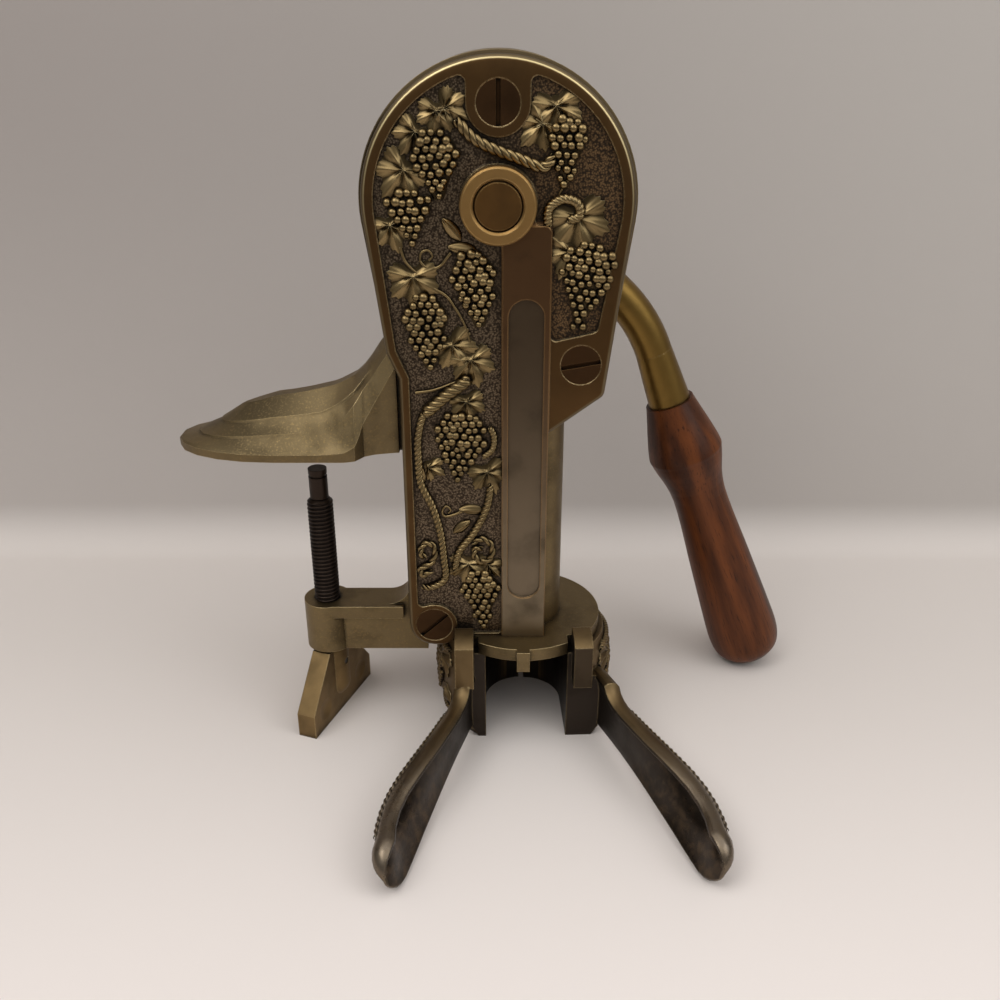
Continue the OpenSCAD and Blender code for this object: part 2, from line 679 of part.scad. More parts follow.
module front_bushing() color(brass) in_frame() {
    difference() {
        union() {
            cone_y(hub_at, boss_r - ring_bevel, boss_r, face_y - boss_h, face_y - boss_h + ring_bevel);
            rod_y(hub_at, boss_r, face_y - boss_h + ring_bevel, face_y);
            rod_y(hub_at, bush_r, face_y - cut, part_y + cut);
        }
        cone_y(hub_at, shaft_r + 2 * ring_bevel, shaft_r, face_y - boss_h - ring_bevel / 2,
            face_y - boss_h + 1.5 * ring_bevel);
        rod_y(hub_at, shaft_r + run_gap, face_y - boss_h - cut, part_y + 2 * cut);
    }
}

module rear_bushing() color(brass) in_frame() {
    y1 = back_d + back_boss_h;
    difference() {
        union() {
            rod_y(hub_at, bush_r, pocket_y, y1 + cut / 2);
            rod_y(hub_at, boss_back_r - 2, y1, y1 + back_flange_t);
        }
        rod_y(hub_at, shaft_r + run_gap, pocket_y - cut, y1 + back_flange_t + cut);
    }
}

module lever_shaft() color(bronze_dark) in_frame() {
    difference() {
        union() {
            cone_y(hub_at, shaft_r - ring_bevel, shaft_r, face_y - boss_h + 0.5, face_y - boss_h + 0.5 + ring_bevel);
            rod_y(hub_at, shaft_r, face_y - boss_h + 0.5 + ring_bevel, hub_y0);
            rod_y(hub_at, hub_seat_r, hub_y0 - cut, hub_y1 - 1);
            rod_y(hub_at, shaft_r + 1.6, gear_back_y, gear_back_y + 1.6);
        }
        key_room(seat_gap);
        rod_y(hub_at, screw_d / 2 + seat_gap, hub_y1 - hub_screw_len - cut, hub_y1);
        hub_pin_room(seat_gap);
    }
}

// Parallel key on top of the shaft, half in the shaft and half in the drive gear
module key_room(gap) {
    translate([shaft_x - key_w / 2 - gap, gear_y - (gap > 0 ? cut : 0), shaft_z + shaft_r - key_w / 2 - gap])
        cube([key_w + 2 * gap, gear_w + (gap > 0 ? cut : 0), key_w + 2 * gap]);
}

module drive_key() color(steel) in_frame() key_room(0);

// Half angle of a gear tooth at radius r, in degrees
function involute(a) = tan(a) * 180 / PI - a;
function tooth_half(r, pitch_r, teeth) =
    let (base = pitch_r * cos(pressure), at = acos(min(1, base / max(r, base))))
    90 / teeth - backlash / pitch_r * 180 / PI + involute(pressure) - involute(at);

// Outline of a spur gear with one tooth at the given angle
module gear_view(teeth, phase) {
    pitch_r = gear_m * teeth / 2;
    steps = 4;
    root = pitch_r - dedendum;
    radii = [for (i = [0 : steps]) root + (dedendum + addendum) * i / steps];
    polygon([for (k = [0 : teeth - 1]) let (mid = phase + 360 * k / teeth)
        each concat(
            [for (r = radii) let (a = mid - tooth_half(r, pitch_r, teeth)) r * [cos(a), sin(a)]],
            [for (i = [steps : -1 : 0]) let (r = radii[i], a = mid + tooth_half(r, pitch_r, teeth))
                r * [cos(a), sin(a)]])]);
}

module drive_gear() color(steel) in_frame() {
    difference() {
        along_y(gear_y, gear_back_y) translate(hub_at) gear_view(gear_teeth, mesh_angle);
        rod_y(hub_at, shaft_r + seat_gap, gear_y - cut, gear_back_y + cut);
        key_room(seat_gap);
    }
}

module idler_gear() color(steel) in_frame() {
    difference() {
        along_y(gear_y, rack_back_y) translate([idler_x, idler_z]) gear_view(idler_teeth, idler_phase);
        rod_y([idler_x, idler_z], idler_pin_r + run_gap, gear_y - cut, rack_back_y + cut);
    }
}

module idler_pin() color(steel) in_frame() {
    difference() {
        rod_y([idler_x, idler_z], idler_pin_r, part_y + air, pocket_y - cut);
        clip_groove(idler_pin_r - 1, idler_pin_r + cut);
    }
}

// Ring space of the clip in front of the idler
module clip_groove(r0, r1) {
    difference() {
        rod_y([idler_x, idler_z], r1, gear_y - 1.2, gear_y - air);
        rod_y([idler_x, idler_z], r0, gear_y - 2, gear_y);
    }
}

module idler_clip() color(black_steel) in_frame() {
    difference() {
        clip_groove(idler_pin_r - 1 + seat_gap, idler_pin_r + 2);
        translate([idler_x - 1.5, gear_y - 2, idler_z - 3 * idler_pin_r]) cube([3, 2, 3 * idler_pin_r]);
    }
}

// Rack teeth towards the idler, as a front view
module rack_view() {
    low = block_top - cut;
    count = ceil((rack_top - low) / tooth_pitch) + 1;
    tilt = tan(pressure);
    half = tooth_pitch / 4 - backlash;
    intersection() {
        union() {
            translate([rack_x + dedendum, low]) square([rack_t - dedendum, rack_top - low]);
            for (k = [-count : count]) {
                z = idler_z + rack_phase + (k + 0.5) * tooth_pitch;
                polygon([[rack_x + dedendum + 0.1, z - half - dedendum * tilt],
                    [rack_x - addendum, z - half + addendum * tilt],
                    [rack_x - addendum, z + half - addendum * tilt],
                    [rack_x + dedendum + 0.1, z + half + dedendum * tilt]]);
            }
        }
        translate([rack_x - rack_t, low]) square([3 * rack_t, rack_top - low]);
    }
}

module worm_carriage() color(steel) in_frame() {
    along_y(rack_y, rack_back_y) rack_view();
    difference() {
        translate([0, 0, block_z]) cylinder(r = block_r, h = block_h);
        translate([0, 0, block_z - cut]) cylinder(r = spindle_r + run_gap, h = chamber_z - block_z + 2 * cut);
        translate([0, 0, chamber_z]) cylinder(r = chamber_r, h = chamber_h);
        translate([-block_r - cut, -chamber_r, chamber_z]) cube([block_r + cut, 2 * chamber_r, chamber_h]);
    }
}

// Helix of the worm: turn at a height, with the gap of the helix at the peg
function helix_turn(z) = 180 + 360 * (z - peg_z) / worm_lead;
function helix_point(z) = [worm_r * cos(helix_turn(z)), worm_r * sin(helix_turn(z)), z];
ring_count = 16;
helix_steps = ceil(helix_len / worm_lead * ring_count);
helix_rise = atan2(worm_lead, 2 * PI * worm_r);
// Wire radius along the helix: drawn out to a point over the first turn
function wire_at(z) = wire_r * min(1, 0.12 + 0.88 * (z - tip_z) / worm_lead);
ring_sides = 6;
helix_rings = [for (i = [0 : helix_steps])
    let (z = tip_z + helix_len * i / helix_steps, t = helix_turn(z),
        out = [cos(t), sin(t), 0],
        up = [sin(t) * sin(helix_rise), -cos(t) * sin(helix_rise), cos(helix_rise)])
    [for (k = [0 : ring_sides - 1]) helix_point(z)
        + wire_at(z) * (cos(360 * k / ring_sides) * out + sin(360 * k / ring_sides) * up)]];
// Least distance between the surfaces of neighbouring turns, measured on the centre line's points
turn_gap = min([for (k = [1 : ring_count])
    norm(helix_point(peg_z + worm_lead / 2 + worm_lead * k / ring_count) - helix_point(peg_z))]) - 2 * wire_r;
echo(least_gap_between_worm_turns = turn_gap);

module worm_helix() {
    n = ring_sides;
    points = [for (ring = helix_rings) each ring];
    last = n * helix_steps;
    sides = [for (i = [0 : helix_steps - 1]) for (k = [0 : n - 1])
        let (a = n * i + k, b = n * i + (k + 1) % n)
        each [[b + n, a + n, a], [b, b + n, a]]];
    ends = concat([for (k = [1 : n - 2]) [k + 1, k, 0]], [for (k = [1 : n - 2]) [last + k, last + k + 1, last]]);
    polyhedron(points = points, faces = concat(sides, ends));
}

module worm() color(steel) in_frame() {
    worm_helix();
    translate([0, 0, helix_top - 4]) cylinder(r = spindle_r, h = chamber_z + washer_t + retainer_h - helix_top + 4.5);
    translate([0, 0, block_z - air - flange_t]) cylinder(r = flange_r, h = flange_t);
}

module thrust_washer() color(brass) in_frame() {
    difference() {
        translate([0, 0, chamber_z + air]) cylinder(r = chamber_r - 0.8, h = washer_t);
        translate([0, 0, chamber_z]) cylinder(r = spindle_r + seat_gap, h = washer_t + cut);
    }
}

module worm_retainer() color(steel) in_frame() {
    z0 = chamber_z + air + washer_t;
    difference() {
        translate([0, 0, z0]) cylinder(r = chamber_r - 1, h = retainer_h);
        translate([0, 0, z0 - cut]) cylinder(r = spindle_r + seat_gap, h = retainer_h + 2 * cut);
    }
}

module worm_nut() color(brass) in_frame() {
    difference() {
        translate([0, 0, nut_z]) cylinder(r = column_bore_r - seat_gap, h = nut_h);
        translate([0, 0, nut_z - cut]) cylinder(r = worm_out_r + air, h = nut_h + 2 * cut);
        peg(peg_r + seat_gap, cut);
    }
}

// Peg across the nut's wall, reaching into the gap of the helix
module peg(r, over) {
    reach = worm_r - wire_r + 0.5;
    translate([reach - over, 0, peg_z]) rotate([0, 90, 0])
        cylinder(r = r, h = column_bore_r - 0.5 - reach + 2 * over);
}

module nut_peg() color(steel) in_frame() peg(peg_r, 0);

// Collar screws inside the collar's edge, and to each side of the worm axis
collar_screw_in = 8;
collar_screw_y = 9;
collar_screw_at = [for (side = [-1, 1]) [collar_screw_in - collar_r, side * collar_screw_y]];

module bottle_collar() color(body_tan) in_frame() {
    difference() {
        union() {
            translate([0, 0, collar_z]) cylinder(r = collar_r, h = collar_t);
            translate([0, 0, body_z - cut]) cylinder(r = column_bore_r - seat_gap, h = spigot_h + cut);
            translate([-lug_w / 2, -collar_r - lug_out, collar_z]) cube([lug_w, lug_out + 6, collar_t]);
            translate([-lug_w / 2, -collar_r - lug_out, collar_z - lug_drop]) cube([lug_w, lug_out, lug_drop + cut]);
        }
        translate([0, 0, collar_z - cut]) cylinder(r = collar_bore_r, h = collar_t + spigot_h + 2 * cut);
        for (side = [-1, 1]) {
            intersection() {
                difference() {
                    translate([side * (tongue_w + collar_r), -collar_r, collar_z - cut])
                        translate([-collar_r, -collar_r, 0]) cube([2 * collar_r, 2 * collar_r, collar_t + 2 * cut]);
                    ear_x = side < 0 ? left_ear_x : right_ear_x;
                    notch_r = norm([ear_x - pin_x, ear_back + pin_y]) - 2 * air;
                    translate([side * pin_x, pin_y, collar_z - 2 * cut])
                        cylinder(r = notch_r, h = collar_t + 4 * cut);
                }
                translate([-2 * collar_r, -2 * collar_r, collar_z - cut])
                    cube([4 * collar_r, 2 * collar_r, collar_t + 2 * cut]);
            }
            translate([side * pin_x, pin_y, collar_z - cut]) cylinder(r = pin_d / 2 + seat_gap, h = collar_t + 2 * cut);
        }
        rod_y(corner, corner_r + air, -2 * collar_r, part_y + air);
        for (p = collar_screw_at) {
            translate([p[0], p[1], collar_z - cut]) cylinder(r = screw_d / 2 + seat_gap, h = collar_t + 2 * cut);
            translate([p[0], p[1], collar_z - cut])
                cylinder(r = screw_d * 0.9 + seat_gap, h = screw_head_t - 0.4 + cut);
        }
    }
}

module collar_screws() color(bronze_dark) in_frame() {
    for (p = collar_screw_at) {
        difference() {
            union() {
                translate([p[0], p[1], collar_z]) cylinder(r = screw_d * 0.9, h = screw_head_t - 0.4);
                translate([p[0], p[1], collar_z]) cylinder(r = screw_d / 2, h = collar_t + screw_deep - cut);
            }
            translate([p[0], p[1], collar_z]) cube([screw_d * 2, slot_w, 2 * slot_deep], center = true);
        }
    }
}

// Cross-section of a handle as [outwards, up], from its underside up the inner face and down the outer one
function handle_section(far, dish_share) =
    let (in = lookup(far, handle_inner), w = in + bead_w * lookup(far, handle_bead), b = w - in,
        h = lookup(far, handle_h), low = lookup(far, handle_low), tall = h - low, lean = max(0, in),
        dish = dish_deep * lookup(far, handle_dish) * dish_share)
    [[2.2, low], [0.5, low + 0.5], [0, low + 1.6], [dish * 0.9 + lean * 0.1, low + tall * 0.22],
        [dish + lean * 0.35, low + tall * 0.45], [dish + lean * 0.7, low + tall * 0.68],
        [in + 0.9 + dish * 0.4, h - 3.4], [in, h - 2.2], [in + 0.25, h - 0.9], [in + 0.2 * b, h - 0.1],
        [in + 0.5 * b, h], [in + 0.78 * b, h - 1], [in + 0.94 * b, h - 2.6], [w, h - 5],
        [max(4.2, 0.62 * w), low + tall * 0.46], [4.2, low + tall * 0.22], [3.9, low + tall * 0.06]];

// Handle of the right jaw, from inside the cup to its round end
module handle(root_x, flare) {
    out = [1, flare] / norm([1, flare]);
    rows = concat([for (far = handle_rows) [far, 1, 1]],
        [for (e = handle_end_rows) [handle_reach + handle_end * e, max(0.1, sqrt(1 - e * e)), max(0, 1 - e)]]);
    rings = [for (row = rows)
        let (ring = handle_section(min(row[0], handle_reach), row[2]), n = len(ring),
            mid = [for (c = [0, 1]) (ring[4][c] + ring[n - 3][c]) / 2],
            base = [root_x + flare * (row[0] - jaw_front), -row[0]])
        [for (p = ring) let (q = mid + (p - mid) * row[1])
            [base[0] + q[0] * out[0], base[1] + q[0] * out[1], q[1]]]];
    n = len(rings[0]);
    last = n * (len(rings) - 1);
    side_faces = [for (i = [0 : len(rings) - 2]) for (k = [0 : n - 1])
        let (a = n * i + k, b = n * i + (k + 1) % n)
        each [[b, b + n, a + n], [b, a + n, a]]];
    end_faces = concat([for (k = [1 : n - 2]) [0, k + 1, k]], [for (k = [1 : n - 2]) [last, last + k, last + k + 1]]);
    polyhedron(points = [for (ring = rings) each ring], faces = concat(side_faces, end_faces));
}

// Ear beside the collar's tongue, bevelled on top towards the front
module ear(ear_x) {
    top = jaw_h + ear_rise;
    translate([ear_x, 0, 0]) rotate([90, 0, 90]) linear_extrude(height = ear_w)
        polygon([[-ear_back, ear_foot], [-ear_back, top], [-ear_back - ear_deep + ear_bevel[0], top],
            [-ear_back - ear_deep, top - ear_bevel[1]], [-ear_back - ear_deep, ear_foot]]);
}

// Cup of a jaw in plan, right side, without the bottle throat
module jaw_plan() {
    difference() {
        translate([jaw_split, -jaw_front]) square([jaw_r, jaw_front + jaw_r]);
        circle(r = throat_r);
        translate([-throat_r, -2 * jaw_front]) square([2 * throat_r, 2 * jaw_front]);
        polygon([[0, pin_y], [jaw_split, pin_y], [jaw_split + tan(split_angle) * jaw_r, pin_y + jaw_r], [0, pin_y + jaw_r]]);
    }
}

// Right jaw before it is opened: cup, front plate, ear beside the collar's tongue, and handle
module jaw(ear_x, root_x, flare) {
    difference() {
        union() {
            intersection() {
                rotate_extrude()
                    polygon([[0, 0], [jaw_r - 3, 0], [jaw_r, 11], [jaw_r, jaw_h - 10],
                        [jaw_r - 1.5, jaw_h], [0, jaw_h]]);
                linear_extrude(height = jaw_h) jaw_plan();
            }
            translate([0, plate_deep - jaw_front, 0]) rotate([90, 0, 0]) linear_extrude(height = plate_deep)
                polygon([[throat_r, 0], [root_x - plate_bevel[0], 0], [root_x + 0.5, plate_bevel[1]],
                    [root_x + 0.5, plate_h], [throat_r, plate_h]]);
            ear(ear_x);
            handle(root_x, flare);
        }
        translate([pin_x, pin_y, -cut]) cylinder(r = pin_d / 2 + run_gap, h = jaw_h + 2 * cut);
        translate([pin_x, pin_y, -cut]) cylinder(r = pin_head_r + air, h = pin_head_z + pin_head_t + air + cut);
    }
}

// Turns the right jaw outwards about its pin
module opened(angle) translate([pin_x, pin_y, 0]) rotate([0, 0, angle]) translate([-pin_x, -pin_y, 0]) children();

module right_jaw() color(body_tan) in_frame() opened(right_open) jaw(right_ear_x, right_root_x, right_flare);

module left_jaw() color(body_tan) in_frame() mirror([1, 0, 0])
    opened(left_open) jaw(left_ear_x, left_root_x, left_flare);

module jaw_pins() color(steel) in_frame() {
    for (side = [-1, 1]) translate([side * pin_x, pin_y, pin_head_z]) {
        cylinder(r = pin_head_r, h = pin_head_t);
        cylinder(r = pin_d / 2, h = body_z - pin_head_z);
    }
}

module lever_arm() color(olive_brass) in_frame() {
    difference() {
        union() {
            rod_y(hub_at, hub_r, hub_y0, hub_y1);
            arm_bar(hub_at, bend_end, arm_d, arm_d);
            translate([bend_mid[0], lever_y, bend_mid[1]]) rotate([90, 0, 0]) rotate([0, 0, grip_lean - bend_in])
                rotate_extrude(angle = bend_end_angle - grip_lean + 2 * bend_in)
                    translate([bend_r, 0]) circle(d = arm_d - 3 * seat_gap);
            arm_bar(bend_start, grip_top, arm_d, arm_end_d);
            arm_bar(grip_top + cut * grip_up, grip_top - tang_len * grip_up, tang_d, tang_d);
        }
        rod_y(hub_at, hub_seat_r + seat_gap, hub_y0 - cut, hub_y1 + cut);
        hub_pin_room(seat_gap);
    }
}

// Cross pin through the hub and the shaft
module hub_pin_room(gap) {
    over = gap > 0 ? cut : -0.5;
    translate([shaft_x, lever_y - hub_pin_front, shaft_z - hub_r - over])
        cylinder(r = hub_pin_r + gap, h = 2 * hub_r + 2 * over);
}

module hub_pin() color(steel) in_frame() hub_pin_room(0);

module hub_screw() color(bronze_dark) in_frame() {
    difference() {
        union() {
            rod_y(hub_at, screw_head_d / 2 + 2, hub_y1, hub_y1 + screw_head_t);
            rod_y(hub_at, screw_d / 2, hub_y1 - hub_screw_len, hub_y1 + cut);
        }
        translate([shaft_x, hub_y1 + screw_head_t, shaft_z])
            cube([2 * screw_head_d, 2 * slot_deep, slot_w], center = true);
    }
}

// Smooth value between four neighbouring points of a curve, at share u between the middle two
function smooth(a, b, c, d, u) = 0.5 * (2 * b + (c - a) * u + (2 * a - 5 * b + 4 * c - d) * u * u
    + (3 * b - a - 3 * c + d) * u * u * u);
grip_steps = 5;
function grip_point(i) = grip_shape[max(0, min(len(grip_shape) - 1, i))];
grip_curve = [for (i = [0 : len(grip_shape) - 2]) for (k = [0 : grip_steps - 1])
    smooth(grip_point(i - 1), grip_point(i), grip_point(i + 1), grip_point(i + 2), k / grip_steps)];
grip_end = grip_shape[len(grip_shape) - 1];

module grip() color(walnut) in_frame() {
    difference() {
        translate([grip_top[0], lever_y, grip_top[1]]) rotate([0, 180 - grip_lean, 0])
            rotate_extrude()
                polygon(concat([[0, 0]],
                    [for (p = grip_curve) [p[1] * grip_r, p[0] * grip_len]],
                    [[grip_end[1] * grip_r, grip_end[0] * grip_len], [grip_flat * grip_r, grip_len], [0, grip_len]]));
        arm_bar(grip_top + cut * grip_up, grip_top - (tang_len + seat_gap) * grip_up,
            tang_d + 2 * seat_gap, tang_d + 2 * seat_gap);
    }
}

module clamp_nose() color(black_steel) in_frame() translate([-clamp_reach, clamp_y, wing_z + thread_len]) {
    difference() {
        cylinder(d = nose_d, h = nose_len);
        translate([0, 0, nose_len - 3.4]) difference() {
            cylinder(d = nose_d + cut, h = 1.2);
            cylinder(d = nose_d - 1, h = 1.2);
        }
    }
    translate([0, 0, -nose_stem_len]) cylinder(r = nose_stem_r, h = nose_stem_len + cut);
}

module clamp_spindle() color(black_steel) in_frame() translate([-clamp_reach, clamp_y, wing_z]) {
    difference() {
        union() {
            cylinder(r = thread_r, h = thread_len - 1.5 - air);
            translate([0, 0, thread_len - 1.5 - air]) cylinder(r1 = thread_r, r2 = thread_r - 1.5, h = 1.5);
            translate([0, 0, -shank_len]) cylinder(r = shank_r, h = shank_len + cut);
        }
        translate([0, 0, thread_len - nose_stem_len - 2 * air])
            cylinder(r = nose_stem_r + run_gap, h = nose_stem_len + cut);
        wing_pin_room(seat_gap);
    }
}

// Cross pin of the wing, along its thin side
module wing_pin_room(gap) {
    over = gap > 0 ? cut : -0.6;
    rotate([0, 0, -wing_turn]) translate([-wing_hub_r - over, 0, -8]) rotate([0, 90, 0])
        cylinder(r = wing_pin_r + gap, h = 2 * (wing_hub_r + over));
}

module thumb_wing() color(olive_brass) in_frame() translate([-clamp_reach, clamp_y, wing_z]) {
    half = wing_len / 2;
    difference() {
        union() {
            rotate([0, 0, -wing_turn]) rotate([90, 0, 90]) translate([0, 0, -wing_t / 2]) linear_extrude(height = wing_t)
                polygon([[-half, -wing_z], [half, -wing_z], [half, wing_end_h - wing_z], [wing_top_w / 2, 0],
                    [-wing_top_w / 2, 0], [-half, wing_end_h - wing_z]]);
            translate([0, 0, -shank_len]) cylinder(r = wing_hub_r, h = shank_len);
            translate([0, 0, -shank_len]) sphere(r = wing_hub_r);
        }
        translate([0, 0, -shank_len - seat_gap]) cylinder(r = shank_r + seat_gap, h = shank_len + cut);
        wing_pin_room(seat_gap);
        for (end = [-1, 1]) for (side = [-1, 1])
            rotate([0, 0, -wing_turn])
                translate([side * (wing_t / 2 + dimple_r * 3 - dimple_deep), end * half * 0.62, wing_end_h * 0.8 - wing_z])
                    sphere(r = dimple_r * 3);
    }
}

module wing_pin() color(steel) in_frame() translate([-clamp_reach, clamp_y, wing_z]) wing_pin_room(0);

rear_housing();
front_cover();
cover_screws();
front_bushing();
rear_bushing();
lever_shaft();
drive_key();
drive_gear();
lever_arm();
hub_pin();
hub_screw();
grip();
idler_gear();
idler_pin();
idler_clip();
worm_carriage();
worm();
thrust_washer();
worm_retainer();
worm_nut();
nut_peg();
bottle_collar();
collar_screws();
left_jaw();
right_jaw();
jaw_pins();
clamp_nose();
clamp_spindle();
thumb_wing();
wing_pin();
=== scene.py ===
"""Studio scene of a countertop corkscrew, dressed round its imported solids.

Places are written in millimetres from the worm axis (x = y = 0) and the standing surface (z = 0), with -y
towards the viewer. The function spot moves them into the frame of the solids, in metres.
"""
from __future__ import annotations

import logging
import math
import random
from abc import ABC, abstractmethod
from dataclasses import dataclass, field
from enum import Enum
from itertools import cycle
from typing import Any, Callable, Sequence

import bmesh
import bpy
from mathutils import Matrix, Vector

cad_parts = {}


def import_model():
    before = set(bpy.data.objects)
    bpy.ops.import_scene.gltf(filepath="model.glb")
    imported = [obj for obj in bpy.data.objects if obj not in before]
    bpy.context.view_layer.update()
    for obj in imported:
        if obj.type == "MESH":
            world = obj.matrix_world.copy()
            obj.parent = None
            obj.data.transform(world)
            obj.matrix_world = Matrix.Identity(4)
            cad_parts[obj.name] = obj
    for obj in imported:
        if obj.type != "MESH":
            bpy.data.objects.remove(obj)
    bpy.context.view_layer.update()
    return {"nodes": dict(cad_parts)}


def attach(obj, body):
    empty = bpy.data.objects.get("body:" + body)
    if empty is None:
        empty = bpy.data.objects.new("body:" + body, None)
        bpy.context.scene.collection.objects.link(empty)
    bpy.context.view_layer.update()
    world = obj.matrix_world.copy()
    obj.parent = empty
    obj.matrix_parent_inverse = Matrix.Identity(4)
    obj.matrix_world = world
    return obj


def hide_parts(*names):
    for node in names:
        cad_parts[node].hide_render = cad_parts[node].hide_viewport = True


LOG = logging.getLogger("corkscrew")
MM = 0.001
SHIFT = Vector((82.6, 4.0, -126.0))
CREASE = math.radians(55)
Flat = tuple[float, float]
Rgb = tuple[float, float, float]
MADE: dict[str, bpy.types.Material] = {}


class Slot(Enum):
    """Material slots of the record."""

    BODY_METAL = "body_metal"
    BLACK_STEEL = "black_steel"


class Mover(Enum):
    """Bodies of the mechanism that pieces ride on."""

    BODY = "body"
    JAW_LEFT = "jaw_left"
    JAW_RIGHT = "jaw_right"
    CLAMP_SCREW = "clamp_screw"


class Side(Enum):
    """Left or right jaw, as the sign of x."""

    LEFT = -1
    RIGHT = 1


def spot(x: float, y: float, z: float) -> Vector:
    """Move a place into the frame of the solids.

    Args:
        x: Millimetres to the right of the worm axis.
        y: Millimetres behind the worm axis.
        z: Millimetres above the standing surface.

    Returns:
        The same place in metres.
    """
    return (Vector((x, y, z)) + SHIFT) * MM


def paint(red: int, green: int, blue: int) -> Rgb:
    """Linear light of a screen colour given from 0 to 255."""
    parts = [v / 255 for v in (red, green, blue)]
    return tuple(v / 12.92 if v <= 0.04045 else ((v + 0.055) / 1.055) ** 2.4 for v in parts)


def heading(degrees: float) -> Vector:
    """Flat direction at an angle from the first axis."""
    turn = math.radians(degrees)
    return Vector((math.cos(turn), math.sin(turn)))


def circle(count: int) -> list[float]:
    """Angles of points spaced evenly round a circle."""
    return [2 * math.pi * k / count for k in range(count)]


def add_object(name: str, data: bpy.types.ID) -> bpy.types.Object:
    """Put a mesh, lamp or camera into the scene.

    Args:
        name: Name of its object.
        data: The mesh, lamp or camera.

    Returns:
        The object.
    """
    made = bpy.data.objects.new(name, data)
    bpy.context.scene.collection.objects.link(made)
    return made


def between(table: Sequence[Flat], x: float) -> float:
    """Look a value up in a table, along straight lines between its pairs.

    Args:
        table: Pairs of x and value, with rising x.
        x: Where to look.

    Returns:
        The value.
    """
    if x <= table[0][0]:
        return table[0][1]
    for (x0, y0), (x1, y1) in zip(table, table[1:]):
        if x <= x1:
            return y0 + (y1 - y0) * (x - x0) / (x1 - x0)
    return table[-1][1]


def smooth_path(points: Sequence[Flat], step: float) -> list[Flat]:
    """Run a smooth curve through points.

    Args:
        points: Points on the curve.
        step: Distance between the points of the result, in millimetres.

    Returns:
        Points spaced along the curve.
    """
    ends = [points[0], *points, points[-1]]
    parts = 12
    dense: list[Vector] = []
    for a, b, c, d in zip(ends, ends[1:], ends[2:], ends[3:]):
        p, q, r, s = (Vector(v) for v in (a, b, c, d))
        for k in range(parts):
            u = k / parts
            dense.append(0.5 * (2 * q + (r - p) * u + (2 * p - 5 * q + 4 * r - s) * u ** 2
                                + (3 * q - p - 3 * r + s) * u ** 3))
    dense.append(Vector(points[-1]))
    spaced = [dense[0]]
    left = step
    for a, b in zip(dense, dense[1:]):
        run = (b - a).length
        while run >= left > 0:
            a = a + (b - a) * (left / run)
            spaced.append(a)
            run = (b - a).length
            left = step
        left -= run
    spaced.append(dense[-1])
    return [(p.x, p.y) for p in spaced]


class Wire:
    """An output socket that takes part in Python arithmetic."""

    def __init__(self, sheet: NodeSheet, socket: bpy.types.NodeSocket) -> None:
        """Keep an output socket and the node sheet that it is on."""
        self.sheet = sheet
        self.socket = socket

    def calc(self, operation: str, a: Any, b: Any = 0.0) -> Wire:
        """Result of one Math node on one or two values."""
        return self.sheet.node("ShaderNodeMath", {"operation": operation}, {0: a, 1: b})

    def __add__(self, other: Any) -> Wire:
        """Sum of this and another value."""
        return self.calc("ADD", self, other)

    def __radd__(self, other: Any) -> Wire:
        """Sum of another value and this."""
        return self.calc("ADD", other, self)

    def __sub__(self, other: Any) -> Wire:
        """Difference of this and another value."""
        return self.calc("SUBTRACT", self, other)

    def __rsub__(self, other: Any) -> Wire:
        """Difference of another value and this."""
        return self.calc("SUBTRACT", other, self)

    def __mul__(self, other: Any) -> Wire:
        """Product of this and another value."""
        return self.calc("MULTIPLY", self, other)

    def __rmul__(self, other: Any) -> Wire:
        """Product of another value and this."""
        return self.calc("MULTIPLY", other, self)

    def __gt__(self, other: Any) -> Wire:
        """One where this is above another value, and zero elsewhere."""
        return self.calc("GREATER_THAN", self, other)

    def __lt__(self, other: Any) -> Wire:
        """One where this is below another value, and zero elsewhere."""
        return self.calc("LESS_THAN", self, other)

    def __abs__(self) -> Wire:
        """Size of the value without its sign."""
        return self.calc("ABSOLUTE", self)

    def step(self, low: float, high: float) -> Wire:
        """Smooth rise from 0 to 1 between a low and a high value."""
        return self.sheet.node("ShaderNodeMapRange", {"interpolation_type": "SMOOTHSTEP"},
                               {0: self, 1: low, 2: high, 3: 0.0, 4: 1.0})


